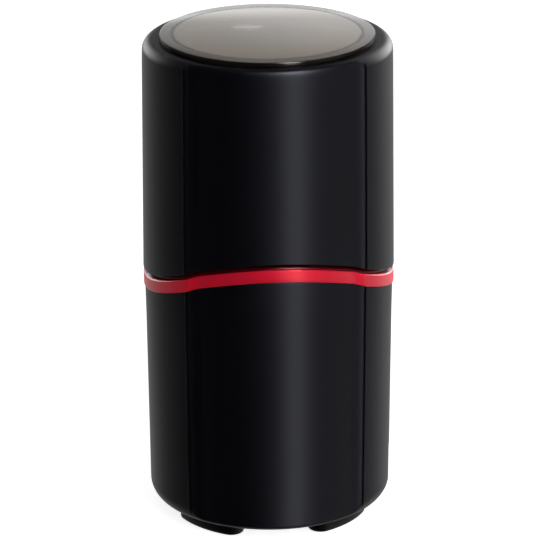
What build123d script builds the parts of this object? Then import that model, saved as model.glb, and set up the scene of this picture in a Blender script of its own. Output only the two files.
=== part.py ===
from build123d import *
import math
import os

# Electric spice grinder: a motor base with a waved upper rim, and a tall lid that is
# pressed down to run the blade. Millimetres, Z up, origin on the floor under the axis.
# The front faces -Y. Angles around the drum run from the front (0) towards +X (90).

# --- Outer form -----------------------------------------------------------------
COVER_RIM = 7.25             # body's lower edge outside the base cover
BODY_TAPER = 1.05            # body's radius grows by this up to the trim ring
LID_STEP = 0.5               # lid's lower edge outside the top of the body
LID_TAPER = 0.6              # lid's radius shrinks by this up to its shoulder
TRIM_STEP = 0.1              # trim ring behind the lid's lower edge
PANEL_INSET = 1.7            # how far the front and rear panels lie behind the drum
PANEL_HALF_ANGLE = 36.5      # half the width of the panel, in degrees
BLEND_RADIUS = 16.5          # hollow curve from the panel out to the ridge
RIDGE_ROUNDING = 0.5
SHOULDER_FILLET = 4.0
BASE_FILLET = 6.9
SPLIT_ARCH_RADIUS = 80.0     # the split line is an arch seen from the front

# --- Heights --------------------------------------------------------------------
FOOT_HEIGHT = 4.5
LID_GAP = 1.15               # open gap between trim ring and lid
LID_HEIGHT = 70.45           # crest of the gap to the lid's flat top
TRIM_HEIGHT = 5.05

# --- Shells ---------------------------------------------------------------------
WALL = 2.4                   # lid and body walls
LEDGE_THICKNESS = 1.6        # inner ledge of the trim ring
TRIM_SKIRT_THICKNESS = 1.2
TRIM_SKIRT_DEPTH = 4.0
DECK_THICKNESS = 3.0         # floor between the motor and the bowl
COLLAR_STEP = 9.7            # collar of the bowl, in from the top of the body
COLLAR_WALL = 2.0
COLLAR_RISE = 8.0            # collar over the crest of the trim ring
REST_WIDTH = 2.4             # ledges in the housing that the carrier rests on
REST_THICKNESS = 2.0
REST_HALF_ANGLE = 25.0

# --- Window and liner -----------------------------------------------------------
WINDOW_MARGIN = 6.3          # window in from the shoulder
WINDOW_THICKNESS = 1.7
WINDOW_EDGE_ROUNDING = 0.4
WINDOW_RIM = 4.6             # spigot in from the edge of the window
WINDOW_SPIGOT_WALL = 1.5
WINDOW_SPIGOT_DEPTH = 4.6
LINER_WALL = 1.8
LINER_FLANGE_THICKNESS = 2.4
LINER_SKIRT_WALL = 1.4
LINER_SKIRT_DEPTH = 7.0
LINER_LIP_WIDTH = 1.6        # inward lip that holds the lid gasket
LINER_LIP_THICKNESS = 1.6
LID_GASKET_THICKNESS = 2.0
LID_BOSS_RADIUS = 2.4
LID_BOSS_HEIGHT = 6.0
LID_BOSS_STEP = 3.4          # lid's screw bosses in from the inside of the wall
LID_BOSS_ANGLES = (62.0, 118.0, 242.0, 298.0)
LID_SCREW_RADIUS = 1.2
LID_SCREW_HEAD_RADIUS = 2.2
LID_SCREW_HEAD_HEIGHT = 1.4
LINER_FLANGE_GAP = 0.5       # flange to the inside of the panel

# --- Bowl and blade -------------------------------------------------------------
BOWL_WALL = 0.8
BOWL_DEPTH = 44.0
BOWL_ROOM = 0.5              # bowl to the inside of the collar
BOWL_CORNER = 10.0
BOWL_DRAFT = 1.5             # bowl wider at its rim than over its corner
BOWL_FLANGE_STEP = 0.2       # bowl's rim in from the outside of the collar
BOWL_GASKET_THICKNESS = 1.0
BOWL_HOLE_RADIUS = 6.0
BOWL_FLOOR_GAP = 1.0         # bowl floor over the deck
SEAL_FLANGE_RADIUS = 7.6
SEAL_FLANGE_THICKNESS = 1.0
SEAL_UNDERCUT = 0.5          # lower flange, under the bowl's floor
HUB_RADIUS = 6.5
HUB_HEIGHT = 4.2
BLADE_ROOM = 4.5             # blade tip to the rim of the bowl
BLADE_WIDTH = 9.0
BLADE_TIP_WIDTH = 5.5
BLADE_THICKNESS = 1.2
BLADE_RISE = 3.6             # how far the blade's tips are bent up
BLADE_FLAT = 16.0            # flat middle of the blade
NUT_RADIUS = 5.2
NUT_HEIGHT = 3.6

# --- Motor ----------------------------------------------------------------------
SHAFT_RADIUS = 2.5
STACK_HEIGHT = 16.0
BACK_IRON = 2.1              # stator outside the coils, front and rear
STATOR_EXTRA_WIDTH = 8.0
STATOR_CORNER = 5.0
ARMATURE_RADIUS = 17.0
AIR_GAP = 0.6
ARMATURE_SLOTS = 10
SLOT_WIDTH = 3.6
SLOT_DEPTH = 7.0
SLOT_MOUTH = 1.2             # depth of the slot's mouth
SLOT_MOUTH_WIDTH = 1.2
WINDING_STEP = 2.4           # winding heads in from the outside of the armature
WINDING_OVERHANG = 3.5
WINDING_BORE = 5.5
COIL_THICKNESS = 4.3
COIL_OVERHANG = 4.2
COIL_HALF_ANGLE = 62.0
COIL_LEG_ANGLE = 11.0
COMMUTATOR_RADIUS = 11.0
COMMUTATOR_LENGTH = 9.0
COMMUTATOR_GAP = 6.0
COMMUTATOR_BARS = 20
BAR_GAP = 0.5
BAR_DEPTH = 0.8
FAN_ROOM = 1.0               # fan in from the front and rear of the motor
FAN_HUB_RADIUS = 6.0
FAN_DISC_THICKNESS = 1.2
FAN_HEIGHT = 3.6
FAN_BLADES = 12
FAN_BLADE_THICKNESS = 1.0
FAN_GAP = 2.0
BRACKET_PLATE = 2.0
BRACKET_BOSS_RADIUS = 8.0
BRACKET_BOSS_DEPTH = 5.0     # lower bearing boss, plate included
AIR_WINDOWS = 4
AIR_WINDOW_HALF_ANGLE = 30.0
UPPER_POST = 12.0
LOWER_POST = 18.5
POST_RADIUS = 3.0
MOUNT_HEIGHT = 3.0
MOUNT_RADIUS = 4.4
BUSHING_RADIUS = 5.0
BUSHING_LENGTH = 6.0
MOTOR_SCREW_RADIUS = 1.7
MOTOR_SCREW_INSET = 3.8      # screw centre from the stator's sides
MOTOR_SCREW_HEAD_RADIUS = 3.0
MOTOR_SCREW_HEAD_HEIGHT = 2.0
MOTOR_BOSS_RADIUS = 3.2
MOTOR_BOSS_HEIGHT = 3.5
BRUSH_WIDTH = 5.0
BRUSH_HEIGHT = 6.0
BRUSH_LENGTH = 9.0
BRUSH_BOX_WALL = 1.6
BRUSH_BOX_LENGTH = 10.5
BRUSH_BOX_OFFSET = 1.4       # brush box from the commutator

# --- Switch ---------------------------------------------------------------------
ROD_STEP = 3.7               # push rod's axis in from the inside of the wall, on the +X side
ROD_RADIUS = 1.9
ROD_STAND = 3.5              # rod over the trim ledge at its centre line
ROD_FOOT_WIDTH = 5.0
ROD_FOOT_HEIGHT = 6.0
ROD_FOOT_REACH = 4.0         # foot from the rod's axis inwards
PRESS_TRAVEL = 1.0
CLIP_RADIUS = 3.2
CLIP_THICKNESS = 1.0
SPRING_RADIUS = 2.75
SPRING_WIRE = 0.32
SPRING_LENGTH = 12.0
SPRING_TURNS = 6
SWITCH_SHIFT = 1.9           # middle of the switch in from the rod's axis
SWITCH_LENGTH = 20.0
SWITCH_WIDTH = 6.4
SWITCH_HEIGHT = 10.0
SWITCH_RIB = 2.1             # housing rib that the switch is screwed to
SWITCH_RIB_DEPTH = 22.0
SWITCH_SCREW_RADIUS = 1.4
SWITCH_SCREW_SPACING = 9.5
SWITCH_SCREW_HEAD = 2.4
SWITCH_SCREW_SINK = 1.0      # depth of the sunk heads
SWITCH_SCREW_RISE = 3.0      # screws over the underside of the switch
LEVER_THICKNESS = 0.5
LEVER_WIDTH = 4.0
LEVER_ARM = 9.0              # lever pivot to its bead
LEVER_BEAD_RADIUS = 1.1
LEVER_PIN_RADIUS = 0.7
BUTTON_ARM = 5.5             # lever pivot to the button
BUTTON_RADIUS = 1.2
BUTTON_LENGTH = 5.0
BUTTON_STAND = 1.5           # button over the case
BUTTON_DOME = 3.0
LEVER_PIVOT_Y = 7.5

# --- Base -----------------------------------------------------------------------
COVER_MARGIN = 7.1           # edge of the cover outside the pillars' axes
MOTOR_CLEARANCE = 5.6        # lower bracket over the base cover
COVER_THICKNESS = 2.4
COVER_SEAT_WIDTH = 2.7
VENT_WIDTH = 2.2
VENT_PITCH = 4.6
VENT_ROWS = 7
VENT_FIELD = 20.0            # radius of the field of vents
PILLAR_RADIUS = 3.4
PILLAR_X = 6.0
PILLAR_ROOM = 1.7            # pillars to the front and rear of the stator
BASE_SCREW_RADIUS = 1.4
BASE_SCREW_LENGTH = 14.0
BASE_SCREW_HEAD_RADIUS = 2.6
BASE_SCREW_HEAD_HEIGHT = 1.4
FOOT_WIDTH = 9.6
FOOT_STEP = 0.1              # feet in from the edge of the cover
FOOT_ARC_ANGLE = 36.0        # along the foot's centre line
FOOT_ROUNDING = 1.3
FOOT_PEG_RADIUS = 1.5
FOOT_PEG_ANGLE = 10.0
FIRST_FOOT_ANGLE = 45.0
FEET = ("foot_front_right", "foot_rear_right", "foot_rear_left", "foot_front_left")

# --- Cord entry -----------------------------------------------------------------
ENTRY_ANGLE = 100.0
ENTRY_HALF_ANGLE = 20.5      # half the width of the flat on the drum
ENTRY_TOP = 24.0
ENTRY_HEIGHT = 16.0          # gland axis over the floor
GLAND_WIDTH = 10.0           # square part of the gland, in the housing's slot
GLAND_FLANGE_RADIUS = 7.4
GLAND_FLANGE_THICKNESS = 1.2
GLAND_BORE = 3.2
CLAMP_LENGTH = 11.0
CLAMP_WIDTH = 3.0
CLAMP_HEIGHT = 9.0
CLAMP_STEP = 9.35            # middle of the clamp behind the flat
CLAMP_NOTCH = 3.1
CLAMP_SCREW_RADIUS = 1.1
CLAMP_SCREW_SPACING = 8.6
TERMINAL_LENGTH = 14.0
TERMINAL_STEP = 5.5          # middle of the terminal block in from the edge of the cover
TERMINAL_WIDTH = 3.8
TERMINAL_HEIGHT = 9.0
TERMINAL_WELL = 1.2

# --- Clearances -----------------------------------------------------------------
FIT = 0.03                   # pressed or glued pieces
SEAT = 0.15                  # pieces that drop into each other
RUNNING = 0.05               # shaft in a bushing, brush on the commutator
GUIDE = 0.10                 # push rod in its guides
TIP_GAP = 1.0                # room past the tip of a screw
FREE = 0.40                  # moving pieces that never touch
TOUCH = 0.05                 # rod, lever and button at rest

# --- Sizes across, worked out from the motor outwards -----------------------------
STATOR_DEPTH = 2 * (ARMATURE_RADIUS + AIR_GAP + COIL_THICKNESS + BACK_IRON)
STATOR_WIDTH = STATOR_DEPTH + STATOR_EXTRA_WIDTH
WINDING_RADIUS = ARMATURE_RADIUS - WINDING_STEP
FAN_RADIUS = STATOR_DEPTH / 2 - FAN_ROOM
PILLAR_Y = STATOR_DEPTH / 2 + PILLAR_ROOM + PILLAR_RADIUS
COVER_RADIUS = PILLAR_Y + COVER_MARGIN
FOOT_OUTER_RADIUS = COVER_RADIUS - FOOT_STEP
TERMINAL_PLACE = COVER_RADIUS - TERMINAL_STEP
BODY_BASE_RADIUS = COVER_RADIUS + COVER_RIM
BODY_TOP_RADIUS = BODY_BASE_RADIUS + BODY_TAPER
LID_RADIUS = BODY_TOP_RADIUS + LID_STEP
SHOULDER_RADIUS = LID_RADIUS - LID_TAPER
TRIM_RADIUS = LID_RADIUS - TRIM_STEP
COLLAR_RADIUS = BODY_TOP_RADIUS - COLLAR_STEP
BOWL_RADIUS = COLLAR_RADIUS - COLLAR_WALL - BOWL_ROOM - BOWL_WALL
BOWL_FLOOR_RADIUS = BOWL_RADIUS - BOWL_DRAFT - BOWL_CORNER
BOWL_FLANGE_RADIUS = COLLAR_RADIUS - BOWL_FLANGE_STEP
BLADE_SPAN = 2 * (BOWL_RADIUS - BLADE_ROOM)
WINDOW_RADIUS = SHOULDER_RADIUS - WINDOW_MARGIN
WINDOW_SPIGOT_RADIUS = WINDOW_RADIUS - WINDOW_RIM
LINER_INSIDE = WINDOW_SPIGOT_RADIUS + SEAT
LINER_OUTSIDE = LINER_INSIDE + LINER_WALL
SKIRT_INSIDE = COLLAR_RADIUS + FREE
SKIRT_OUTSIDE = SKIRT_INSIDE + LINER_SKIRT_WALL
LINER_FLANGE_RADIUS = SHOULDER_RADIUS - PANEL_INSET - WALL - LINER_FLANGE_GAP
LID_BOSS_PLACE = SHOULDER_RADIUS - WALL - LID_BOSS_STEP
ROD_PLACE = BODY_TOP_RADIUS - WALL - ROD_STEP
SWITCH_PLACE = ROD_PLACE - SWITCH_SHIFT
SCREW_X = STATOR_WIDTH / 2 - MOTOR_SCREW_INSET
SCREW_Y = STATOR_DEPTH / 2 - MOTOR_SCREW_INSET
CORNERS = [(x, y) for x in (SCREW_X, -SCREW_X) for y in (SCREW_Y, -SCREW_Y)]
PILLARS = [(x, y) for x in (PILLAR_X, -PILLAR_X) for y in (PILLAR_Y, -PILLAR_Y)]

# --- Heights, worked out from the floor upwards ------------------------------------
UNDERSIDE = FOOT_HEIGHT
COVER_TOP = UNDERSIDE + COVER_THICKNESS
SEAT_TOP = COVER_TOP + WALL
LOWER_PLATE_UNDER = COVER_TOP + MOTOR_CLEARANCE
LOWER_PLATE_TOP = LOWER_PLATE_UNDER + BRACKET_PLATE
STACK_UNDER = LOWER_PLATE_TOP + LOWER_POST
STACK_TOP = STACK_UNDER + STACK_HEIGHT
UPPER_PLATE_UNDER = STACK_TOP + UPPER_POST
UPPER_PLATE_TOP = UPPER_PLATE_UNDER + BRACKET_PLATE
DECK_UNDER = UPPER_PLATE_TOP + MOUNT_HEIGHT
DECK_TOP = DECK_UNDER + DECK_THICKNESS
BOWL_FLOOR = DECK_TOP + BOWL_FLOOR_GAP + BOWL_WALL
BOWL_RIM = BOWL_FLOOR + BOWL_DEPTH
COLLAR_TOP = BOWL_RIM - BOWL_WALL - BOWL_GASKET_THICKNESS
CREST = COLLAR_TOP - COLLAR_RISE
LID_CREST = CREST + LID_GAP
LID_TOP = LID_CREST + LID_HEIGHT
LINER_BOTTOM = BOWL_RIM + PRESS_TRAVEL + TOUCH + LID_GASKET_THICKNESS
LID_CEILING = LID_TOP - WALL
SHOULDER_BASE = LID_TOP - SHOULDER_FILLET
LID_EDGE = LID_CREST - SPLIT_ARCH_RADIUS + math.sqrt(SPLIT_ARCH_RADIUS ** 2 - LID_RADIUS ** 2)
BODY_STATIONS = ((UNDERSIDE + BASE_FILLET, BODY_BASE_RADIUS), (CREST - TRIM_HEIGHT, BODY_TOP_RADIUS))
LID_STATIONS = ((LID_EDGE, LID_RADIUS), (SHOULDER_BASE, SHOULDER_RADIUS))
TRIM_STATIONS = ((LID_EDGE, TRIM_RADIUS), (CREST, TRIM_RADIUS))
FOOT_UNDER = DECK_UNDER - ROD_FOOT_HEIGHT
LEVER_UNDER = FOOT_UNDER - TOUCH - 2 * LEVER_BEAD_RADIUS
BUTTON_TOP = LEVER_UNDER - TOUCH
SWITCH_TOP = BUTTON_TOP - BUTTON_STAND
BEYOND = 20.0                # how far large cutting shapes reach past the drum
CUT = 1.0                    # how far small cutting shapes reach past what they cut


# --- Helpers --------------------------------------------------------------------
def around(radius, angle):
    """Point at an angle from the front, on a circle about the axis."""
    turn = math.radians(angle)
    return Vector(radius * math.sin(turn), -radius * math.cos(turn))


def turned(shape, angle):
    """Turn what was drawn on the +X side to an angle from the front."""
    return Rot(0, 0, angle - 90) * shape


def rod(radius, low, high, x=0.0, y=0.0):
    """Upright cylinder between two heights."""
    return Pos(x, y, (low + high) / 2) * Cylinder(radius, high - low)


def ring(outer, inner, low, high):
    """Upright tube between two heights."""
    return rod(outer, low, high) - rod(inner, low - CUT, high + CUT)


def block(x0, x1, y0, y1, z0, z1):
    """Box between two corners."""
    return Pos((x0 + x1) / 2, (y0 + y1) / 2, (z0 + z1) / 2) * Box(x1 - x0, y1 - y0, z1 - z0)


def spun(points):
    """Solid of revolution from (radius, height) points."""
    profile = make_face(Polyline([(r, z) for r, z in points], close=True))
    return revolve(Plane.XZ * profile, Axis.Z)


def group(solids):
    """Several separate solids in one node."""
    return Compound(children=list(solids))


def radius_at(stations, height):
    """Radius of a tapered drum at a height, from its two stations."""
    (z0, r0), (z1, r1) = stations
    return r0 + (r1 - r0) * (height - z0) / (z1 - z0)


def arch(crest):
    """Everything under the arched split surface whose crest is at this height."""
    tool = Cylinder(SPLIT_ARCH_RADIUS, 4 * LID_RADIUS, rotation=(90, 0, 0))
    return Pos(0, 0, crest - SPLIT_ARCH_RADIUS) * tool


def bow(centre, start, end, radius):
    """Arc from start to end about a centre."""
    middle = ((start - centre) + (end - centre)).normalized()
    return ThreePointArc(start, centre + middle * radius, end)


def relief_half(radius, blend):
    """Points of one half of the panel relief: panel end, blend centre, tangent, ridge."""
    panel = radius - PANEL_INSET
    reach = panel + blend
    inner = radius - RIDGE_ROUNDING
    span = blend + RIDGE_ROUNDING
    swing = math.degrees(math.acos((reach ** 2 + inner ** 2 - span ** 2) / (2 * reach * inner)))
    return panel, reach, inner, PANEL_HALF_ANGLE + swing


def relief_face(radius, blend):
    """Plan of what is cut away in front of the panel, out to well past the drum."""
    panel, reach, inner, ridge = relief_half(radius, blend)
    edges = [ThreePointArc(around(panel, -PANEL_HALF_ANGLE), around(panel, 0), around(panel, PANEL_HALF_ANGLE))]
    for side in (1, -1):
        start = around(panel, side * PANEL_HALF_ANGLE)
        hollow = around(reach, side * PANEL_HALF_ANGLE)
        nose = around(inner, side * ridge)
        tangent = hollow + (nose - hollow).normalized() * blend
        crest = around(radius, side * ridge)
        edges.append(bow(hollow, start, tangent, blend))
        edges.append(bow(nose, tangent, crest, RIDGE_ROUNDING))
        edges.append(Line(crest, around(radius + BEYOND, side * ridge)))
    far = radius + BEYOND
    edges.append(ThreePointArc(around(far, -ridge), around(far, 0), around(far, ridge)))
    return make_face(Wire(edges))


def drum(stations, low, high, inward=0.0):
    """Tapered drum with the panel relief front and rear, offset inwards for a cavity."""
    lower = radius_at(stations, low) - inward
    upper = radius_at(stations, high) - inward
    body = spun([(0, low), (lower, low), (upper, high), (0, high)])
    below = low - BEYOND
    above = high + BEYOND
    plan = relief_face(radius_at(stations, below) - inward, BLEND_RADIUS + inward)
    growth = (radius_at(stations, above) - inward) / (radius_at(stations, below) - inward)
    relief = loft([Pos(0, 0, below) * plan, Pos(0, 0, above) * scale(plan, growth)], ruled=True)
    return body, relief


def relieved(body, relief):
    """Cut the panel relief front and rear."""
    return body - relief - Rot(0, 0, 180) * relief


def drum_form(stations, low, high, inward=0.0):
    """Drum with plain ends."""
    return relieved(*drum(stations, low, high, inward))


def sector(outer, inner, start, stop, low, high):
    """Upright slice of a tube between two angles from the front."""
    middle = (start + stop) / 2
    edges = [
        ThreePointArc(around(outer, start), around(outer, middle), around(outer, stop)),
        Line(around(outer, stop), around(inner, stop)),
        ThreePointArc(around(inner, stop), around(inner, middle), around(inner, start)),
        Line(around(inner, start), around(outer, start)),
    ]
    return Pos(0, 0, low) * extrude(make_face(Wire(edges)), high - low)


def lying(radius, x0, x1, y, z):
    """Cylinder along X."""
    return Pos((x0 + x1) / 2, y, z) * Rot(0, 90, 0) * Cylinder(radius, x1 - x0)


def split_height(crest, x):
    """Height of the split arch at a distance from the middle."""
    return crest - SPLIT_ARCH_RADIUS + math.sqrt(SPLIT_ARCH_RADIUS ** 2 - x ** 2)


ROD_TOP = split_height(CREST, ROD_PLACE) + ROD_STAND
BODY_EDGE = split_height(CREST - TRIM_HEIGHT, TRIM_RADIUS)
FLAT_PLACE = radius_at(BODY_STATIONS, ENTRY_HEIGHT) * math.cos(math.radians(ENTRY_HALF_ANGLE))
CLAMP_PLACE = FLAT_PLACE - CLAMP_STEP
REST_OUTSIDE = radius_at(BODY_STATIONS, DECK_UNDER) - PANEL_INSET - WALL
LINER_FLANGE_TOP = LID_CEILING - LID_BOSS_HEIGHT
COMMUTATOR_TOP = STACK_UNDER - COMMUTATOR_GAP
BRUSH_HEIGHT_MIDDLE = COMMUTATOR_TOP - COMMUTATOR_LENGTH / 2
HUB_UNDER = BOWL_FLOOR + SEAL_FLANGE_THICKNESS + FREE
BLADE_UNDER = HUB_UNDER + HUB_HEIGHT
NUT_UNDER = BLADE_UNDER + BLADE_THICKNESS


# --- Lid ------------------------------------------------------------------------
def make_lid_shell():
    """Tall outer shell of the lid."""
    low = LID_EDGE - CUT
    body, relief = drum(LID_STATIONS, low, LID_TOP)
    rim = body.edges().filter_by(GeomType.CIRCLE).sort_by(Axis.Z)[-1]
    shell = relieved(fillet(rim, SHOULDER_FILLET), relief)
    shell -= drum_form(LID_STATIONS, low - CUT, LID_CEILING, WALL)
    shell -= rod(WINDOW_SPIGOT_RADIUS + SEAT, LID_CEILING - CUT, LID_TOP + CUT)
    shell -= arch(LID_CREST)
    for angle in LID_BOSS_ANGLES:
        shell += turned(rod(LID_BOSS_RADIUS, LINER_FLANGE_TOP, LID_CEILING + WALL / 2, LID_BOSS_PLACE), angle)
        pilot = rod(LID_SCREW_RADIUS + FIT, LINER_FLANGE_TOP - CUT, LID_CEILING, LID_BOSS_PLACE)
        shell -= turned(pilot, angle)
    return shell


def make_lid_window():
    """Smoked disc on top of the lid, with a spigot in the lid's opening."""
    disc = rod(WINDOW_RADIUS, LID_TOP, LID_TOP + WINDOW_THICKNESS)
    disc = fillet(disc.edges().filter_by(GeomType.CIRCLE).sort_by(Axis.Z)[-1], WINDOW_EDGE_ROUNDING)
    inside = WINDOW_SPIGOT_RADIUS - WINDOW_SPIGOT_WALL
    return disc + ring(WINDOW_SPIGOT_RADIUS, inside, LID_TOP - WINDOW_SPIGOT_DEPTH, LID_TOP + WINDOW_THICKNESS / 2)


def make_lid_liner():
    """Inner sleeve of the lid: grinding chamber, locating skirt and press tab."""
    liner = ring(LINER_OUTSIDE, LINER_INSIDE, LINER_BOTTOM, LID_CEILING)
    liner += ring(LINER_FLANGE_RADIUS, LINER_INSIDE, LINER_FLANGE_TOP - LINER_FLANGE_THICKNESS, LINER_FLANGE_TOP)
    lip_top = LINER_BOTTOM + LINER_LIP_THICKNESS
    liner += ring(SKIRT_OUTSIDE, LINER_INSIDE - LINER_LIP_WIDTH, LINER_BOTTOM, lip_top)
    liner += ring(SKIRT_OUTSIDE, SKIRT_INSIDE, LINER_BOTTOM - LINER_SKIRT_DEPTH, lip_top)
    reach = ROD_PLACE + ROD_RADIUS
    tab = block(SKIRT_INSIDE, reach, -ROD_FOOT_WIDTH / 2, ROD_FOOT_WIDTH / 2, ROD_TOP, lip_top)
    liner += tab - rod(SKIRT_INSIDE, ROD_TOP - CUT, LINER_BOTTOM)
    for angle in LID_BOSS_ANGLES:
        low = LINER_FLANGE_TOP - LINER_FLANGE_THICKNESS - CUT
        hole = rod(LID_SCREW_RADIUS + SEAT, low, LINER_FLANGE_TOP + CUT, LID_BOSS_PLACE)
        liner -= turned(hole, angle)
    return liner


def make_lid_gasket():
    """Ring that closes the chamber on the bowl's rim when the lid is pressed."""
    inside = LINER_INSIDE - LINER_LIP_WIDTH
    return ring(BOWL_FLANGE_RADIUS, inside, LINER_BOTTOM - LID_GASKET_THICKNESS, LINER_BOTTOM)


def make_lid_screws():
    """Screws from the liner's flange up into the lid's bosses."""
    under = LINER_FLANGE_TOP - LINER_FLANGE_THICKNESS
    screw = rod(LID_SCREW_RADIUS, under - LID_SCREW_HEAD_HEIGHT / 2, LID_CEILING - TIP_GAP, LID_BOSS_PLACE)
    screw += rod(LID_SCREW_HEAD_RADIUS, under - LID_SCREW_HEAD_HEIGHT, under, LID_BOSS_PLACE)
    return group(turned(screw, angle) for angle in LID_BOSS_ANGLES)


# --- Body -----------------------------------------------------------------------
def housing_outside():
    """Outer form of the housing, closed, up to the waved rim."""
    body, relief = drum(BODY_STATIONS, UNDERSIDE, CREST)
    lower_edge = body.edges().filter_by(GeomType.CIRCLE).sort_by(Axis.Z)[0]
    return relieved(fillet(lower_edge, BASE_FILLET), relief) & arch(CREST - TRIM_HEIGHT)


def entry_slot(gap=0.0):
    """Square slot in the flat, open below, that the cord gland slides into."""
    half = GLAND_WIDTH / 2 + gap
    inner = FLAT_PLACE - WALL - GLAND_FLANGE_THICKNESS
    return block(inner, BODY_TOP_RADIUS, -half, half, UNDERSIDE - gap, ENTRY_HEIGHT + half)


def entry_flat():
    """What is cut away in front of the flat."""
    return block(FLAT_PLACE, BODY_TOP_RADIUS + BEYOND, -BEYOND, BEYOND, UNDERSIDE - CUT, ENTRY_TOP)


def make_body_housing():
    """Outer housing with ledges for the carrier, a seat for the base cover and the cord's slot."""
    outside = housing_outside()
    shell = outside - drum_form(BODY_STATIONS, SEAT_TOP, CREST + CUT, WALL)
    width = FLAT_PLACE * math.tan(math.radians(ENTRY_HALF_ANGLE))
    pad = block(FLAT_PLACE - WALL, BODY_TOP_RADIUS, -width, width, COVER_TOP, ENTRY_TOP + WALL)
    shell += turned(pad, ENTRY_ANGLE) & outside
    shell -= turned(entry_flat() + entry_slot(FIT), ENTRY_ANGLE)
    shell -= rod(COVER_RADIUS + SEAT, UNDERSIDE - CUT, COVER_TOP)
    shell -= rod(COVER_RADIUS - COVER_SEAT_WIDTH, UNDERSIDE - CUT, SEAT_TOP + CUT)
    outer = REST_OUTSIDE + WALL / 2
    inner = REST_OUTSIDE - REST_WIDTH
    for side in (0, 180):
        shell += sector(outer, inner, side - REST_HALF_ANGLE, side + REST_HALF_ANGLE, DECK_UNDER - REST_THICKNESS,
                        DECK_UNDER)
    return shell


def make_bowl_carrier():
    """Inner frame: deck, collar of the bowl, screw pillars, motor bosses and switch rib."""
    carrier = drum_form(BODY_STATIONS, DECK_UNDER, DECK_TOP, WALL + SEAT)
    carrier += ring(COLLAR_RADIUS, COLLAR_RADIUS - COLLAR_WALL, DECK_TOP - DECK_THICKNESS / 2, COLLAR_TOP)
    for x, y in PILLARS:
        carrier += rod(PILLAR_RADIUS, COVER_TOP, DECK_UNDER + DECK_THICKNESS / 2, x, y)
        carrier -= rod(BASE_SCREW_RADIUS + FIT, COVER_TOP - CUT, COVER_TOP + BASE_SCREW_LENGTH, x, y)
    boss_top = DECK_TOP + MOTOR_BOSS_HEIGHT
    for x, y in CORNERS:
        carrier += rod(MOTOR_BOSS_RADIUS, DECK_TOP - DECK_THICKNESS / 2, boss_top, x, y)
        carrier -= rod(MOTOR_SCREW_RADIUS + FIT, DECK_UNDER - CUT, boss_top - TIP_GAP, x, y)
    face = SWITCH_PLACE - SWITCH_WIDTH / 2
    half = SWITCH_LENGTH / 2
    carrier += block(face - SWITCH_RIB, face, -half, half, DECK_UNDER - SWITCH_RIB_DEPTH, DECK_UNDER + CUT)
    carrier -= switch_screw_holes(FIT)
    carrier -= rod(BUSHING_RADIUS + FREE, DECK_UNDER - CUT, DECK_TOP + CUT)
    carrier -= rod(ROD_RADIUS + GUIDE, DECK_UNDER - CUT, DECK_TOP + CUT, ROD_PLACE)
    return carrier


def make_trim_ring():
    """Waved band between body and lid, with an inner ledge and a locating skirt."""
    low = BODY_EDGE - TRIM_SKIRT_DEPTH - CUT
    crest = CREST - TRIM_HEIGHT
    whole = drum_form(TRIM_STATIONS, low, CREST + CUT) & arch(CREST)
    band = whole - arch(crest) - drum_form(TRIM_STATIONS, low - CUT, CREST + 2 * CUT, WALL)
    ledge = whole - arch(CREST - LEDGE_THICKNESS) - rod(COLLAR_RADIUS + SEAT, low, CREST + CUT)
    skirt = drum_form(BODY_STATIONS, low, CREST + CUT, WALL + SEAT)
    skirt -= drum_form(BODY_STATIONS, low - CUT, CREST + 2 * CUT, WALL + SEAT + TRIM_SKIRT_THICKNESS)
    skirt = (skirt & arch(CREST - LEDGE_THICKNESS / 2)) - arch(crest - TRIM_SKIRT_DEPTH)
    skirt -= rod(CLIP_RADIUS + FREE, low - CUT, CREST, ROD_PLACE)
    return band + ledge + skirt - rod(ROD_RADIUS + GUIDE, low, CREST, ROD_PLACE)


def make_base_cover():
    """Screwed base plate with vents."""
    cover = rod(COVER_RADIUS, UNDERSIDE, COVER_TOP)
    for row in range(VENT_ROWS):
        y = (row - (VENT_ROWS - 1) / 2) * VENT_PITCH
        half = math.sqrt(VENT_FIELD ** 2 - y ** 2)
        cover -= block(-half, half, y - VENT_WIDTH / 2, y + VENT_WIDTH / 2, UNDERSIDE - CUT, COVER_TOP + CUT)
    for x, y in PILLARS:
        cover -= rod(BASE_SCREW_RADIUS + SEAT, UNDERSIDE - CUT, COVER_TOP + CUT, x, y)
        cover -= rod(BASE_SCREW_HEAD_RADIUS + SEAT, UNDERSIDE - CUT, UNDERSIDE + BASE_SCREW_HEAD_HEIGHT, x, y)
    for middle in foot_angles():
        for peg in foot_pegs(middle, SEAT):
            cover -= peg
    for screw in clamp_screw_shanks(FIT):
        cover -= screw
    return cover


def foot_angles():
    """Angle of each foot from the front, in the order of their names."""
    return [FIRST_FOOT_ANGLE + angle for angle in slot_angles(len(FEET))]


def foot_pegs(middle, gap=0.0):
    """Two pegs that hold a foot in the base cover."""
    place = FOOT_OUTER_RADIUS - FOOT_WIDTH / 2
    peg = rod(FOOT_PEG_RADIUS + gap, FOOT_HEIGHT - COVER_THICKNESS / 2, COVER_TOP + gap, place)
    return [turned(peg, middle + side * FOOT_PEG_ANGLE) for side in (1, -1)]


def make_foot(middle):
    """Arc-shaped rubber foot."""
    path = CenterArc((0, 0), FOOT_OUTER_RADIUS - FOOT_WIDTH / 2, -FOOT_ARC_ANGLE / 2, FOOT_ARC_ANGLE)
    pad = extrude(SlotArc(path, FOOT_WIDTH), FOOT_HEIGHT)
    pad = fillet(pad.faces().sort_by(Axis.Z)[0].edges(), FOOT_ROUNDING)
    foot = turned(pad, middle)
    for peg in foot_pegs(middle):
        foot += peg
    return foot


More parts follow.
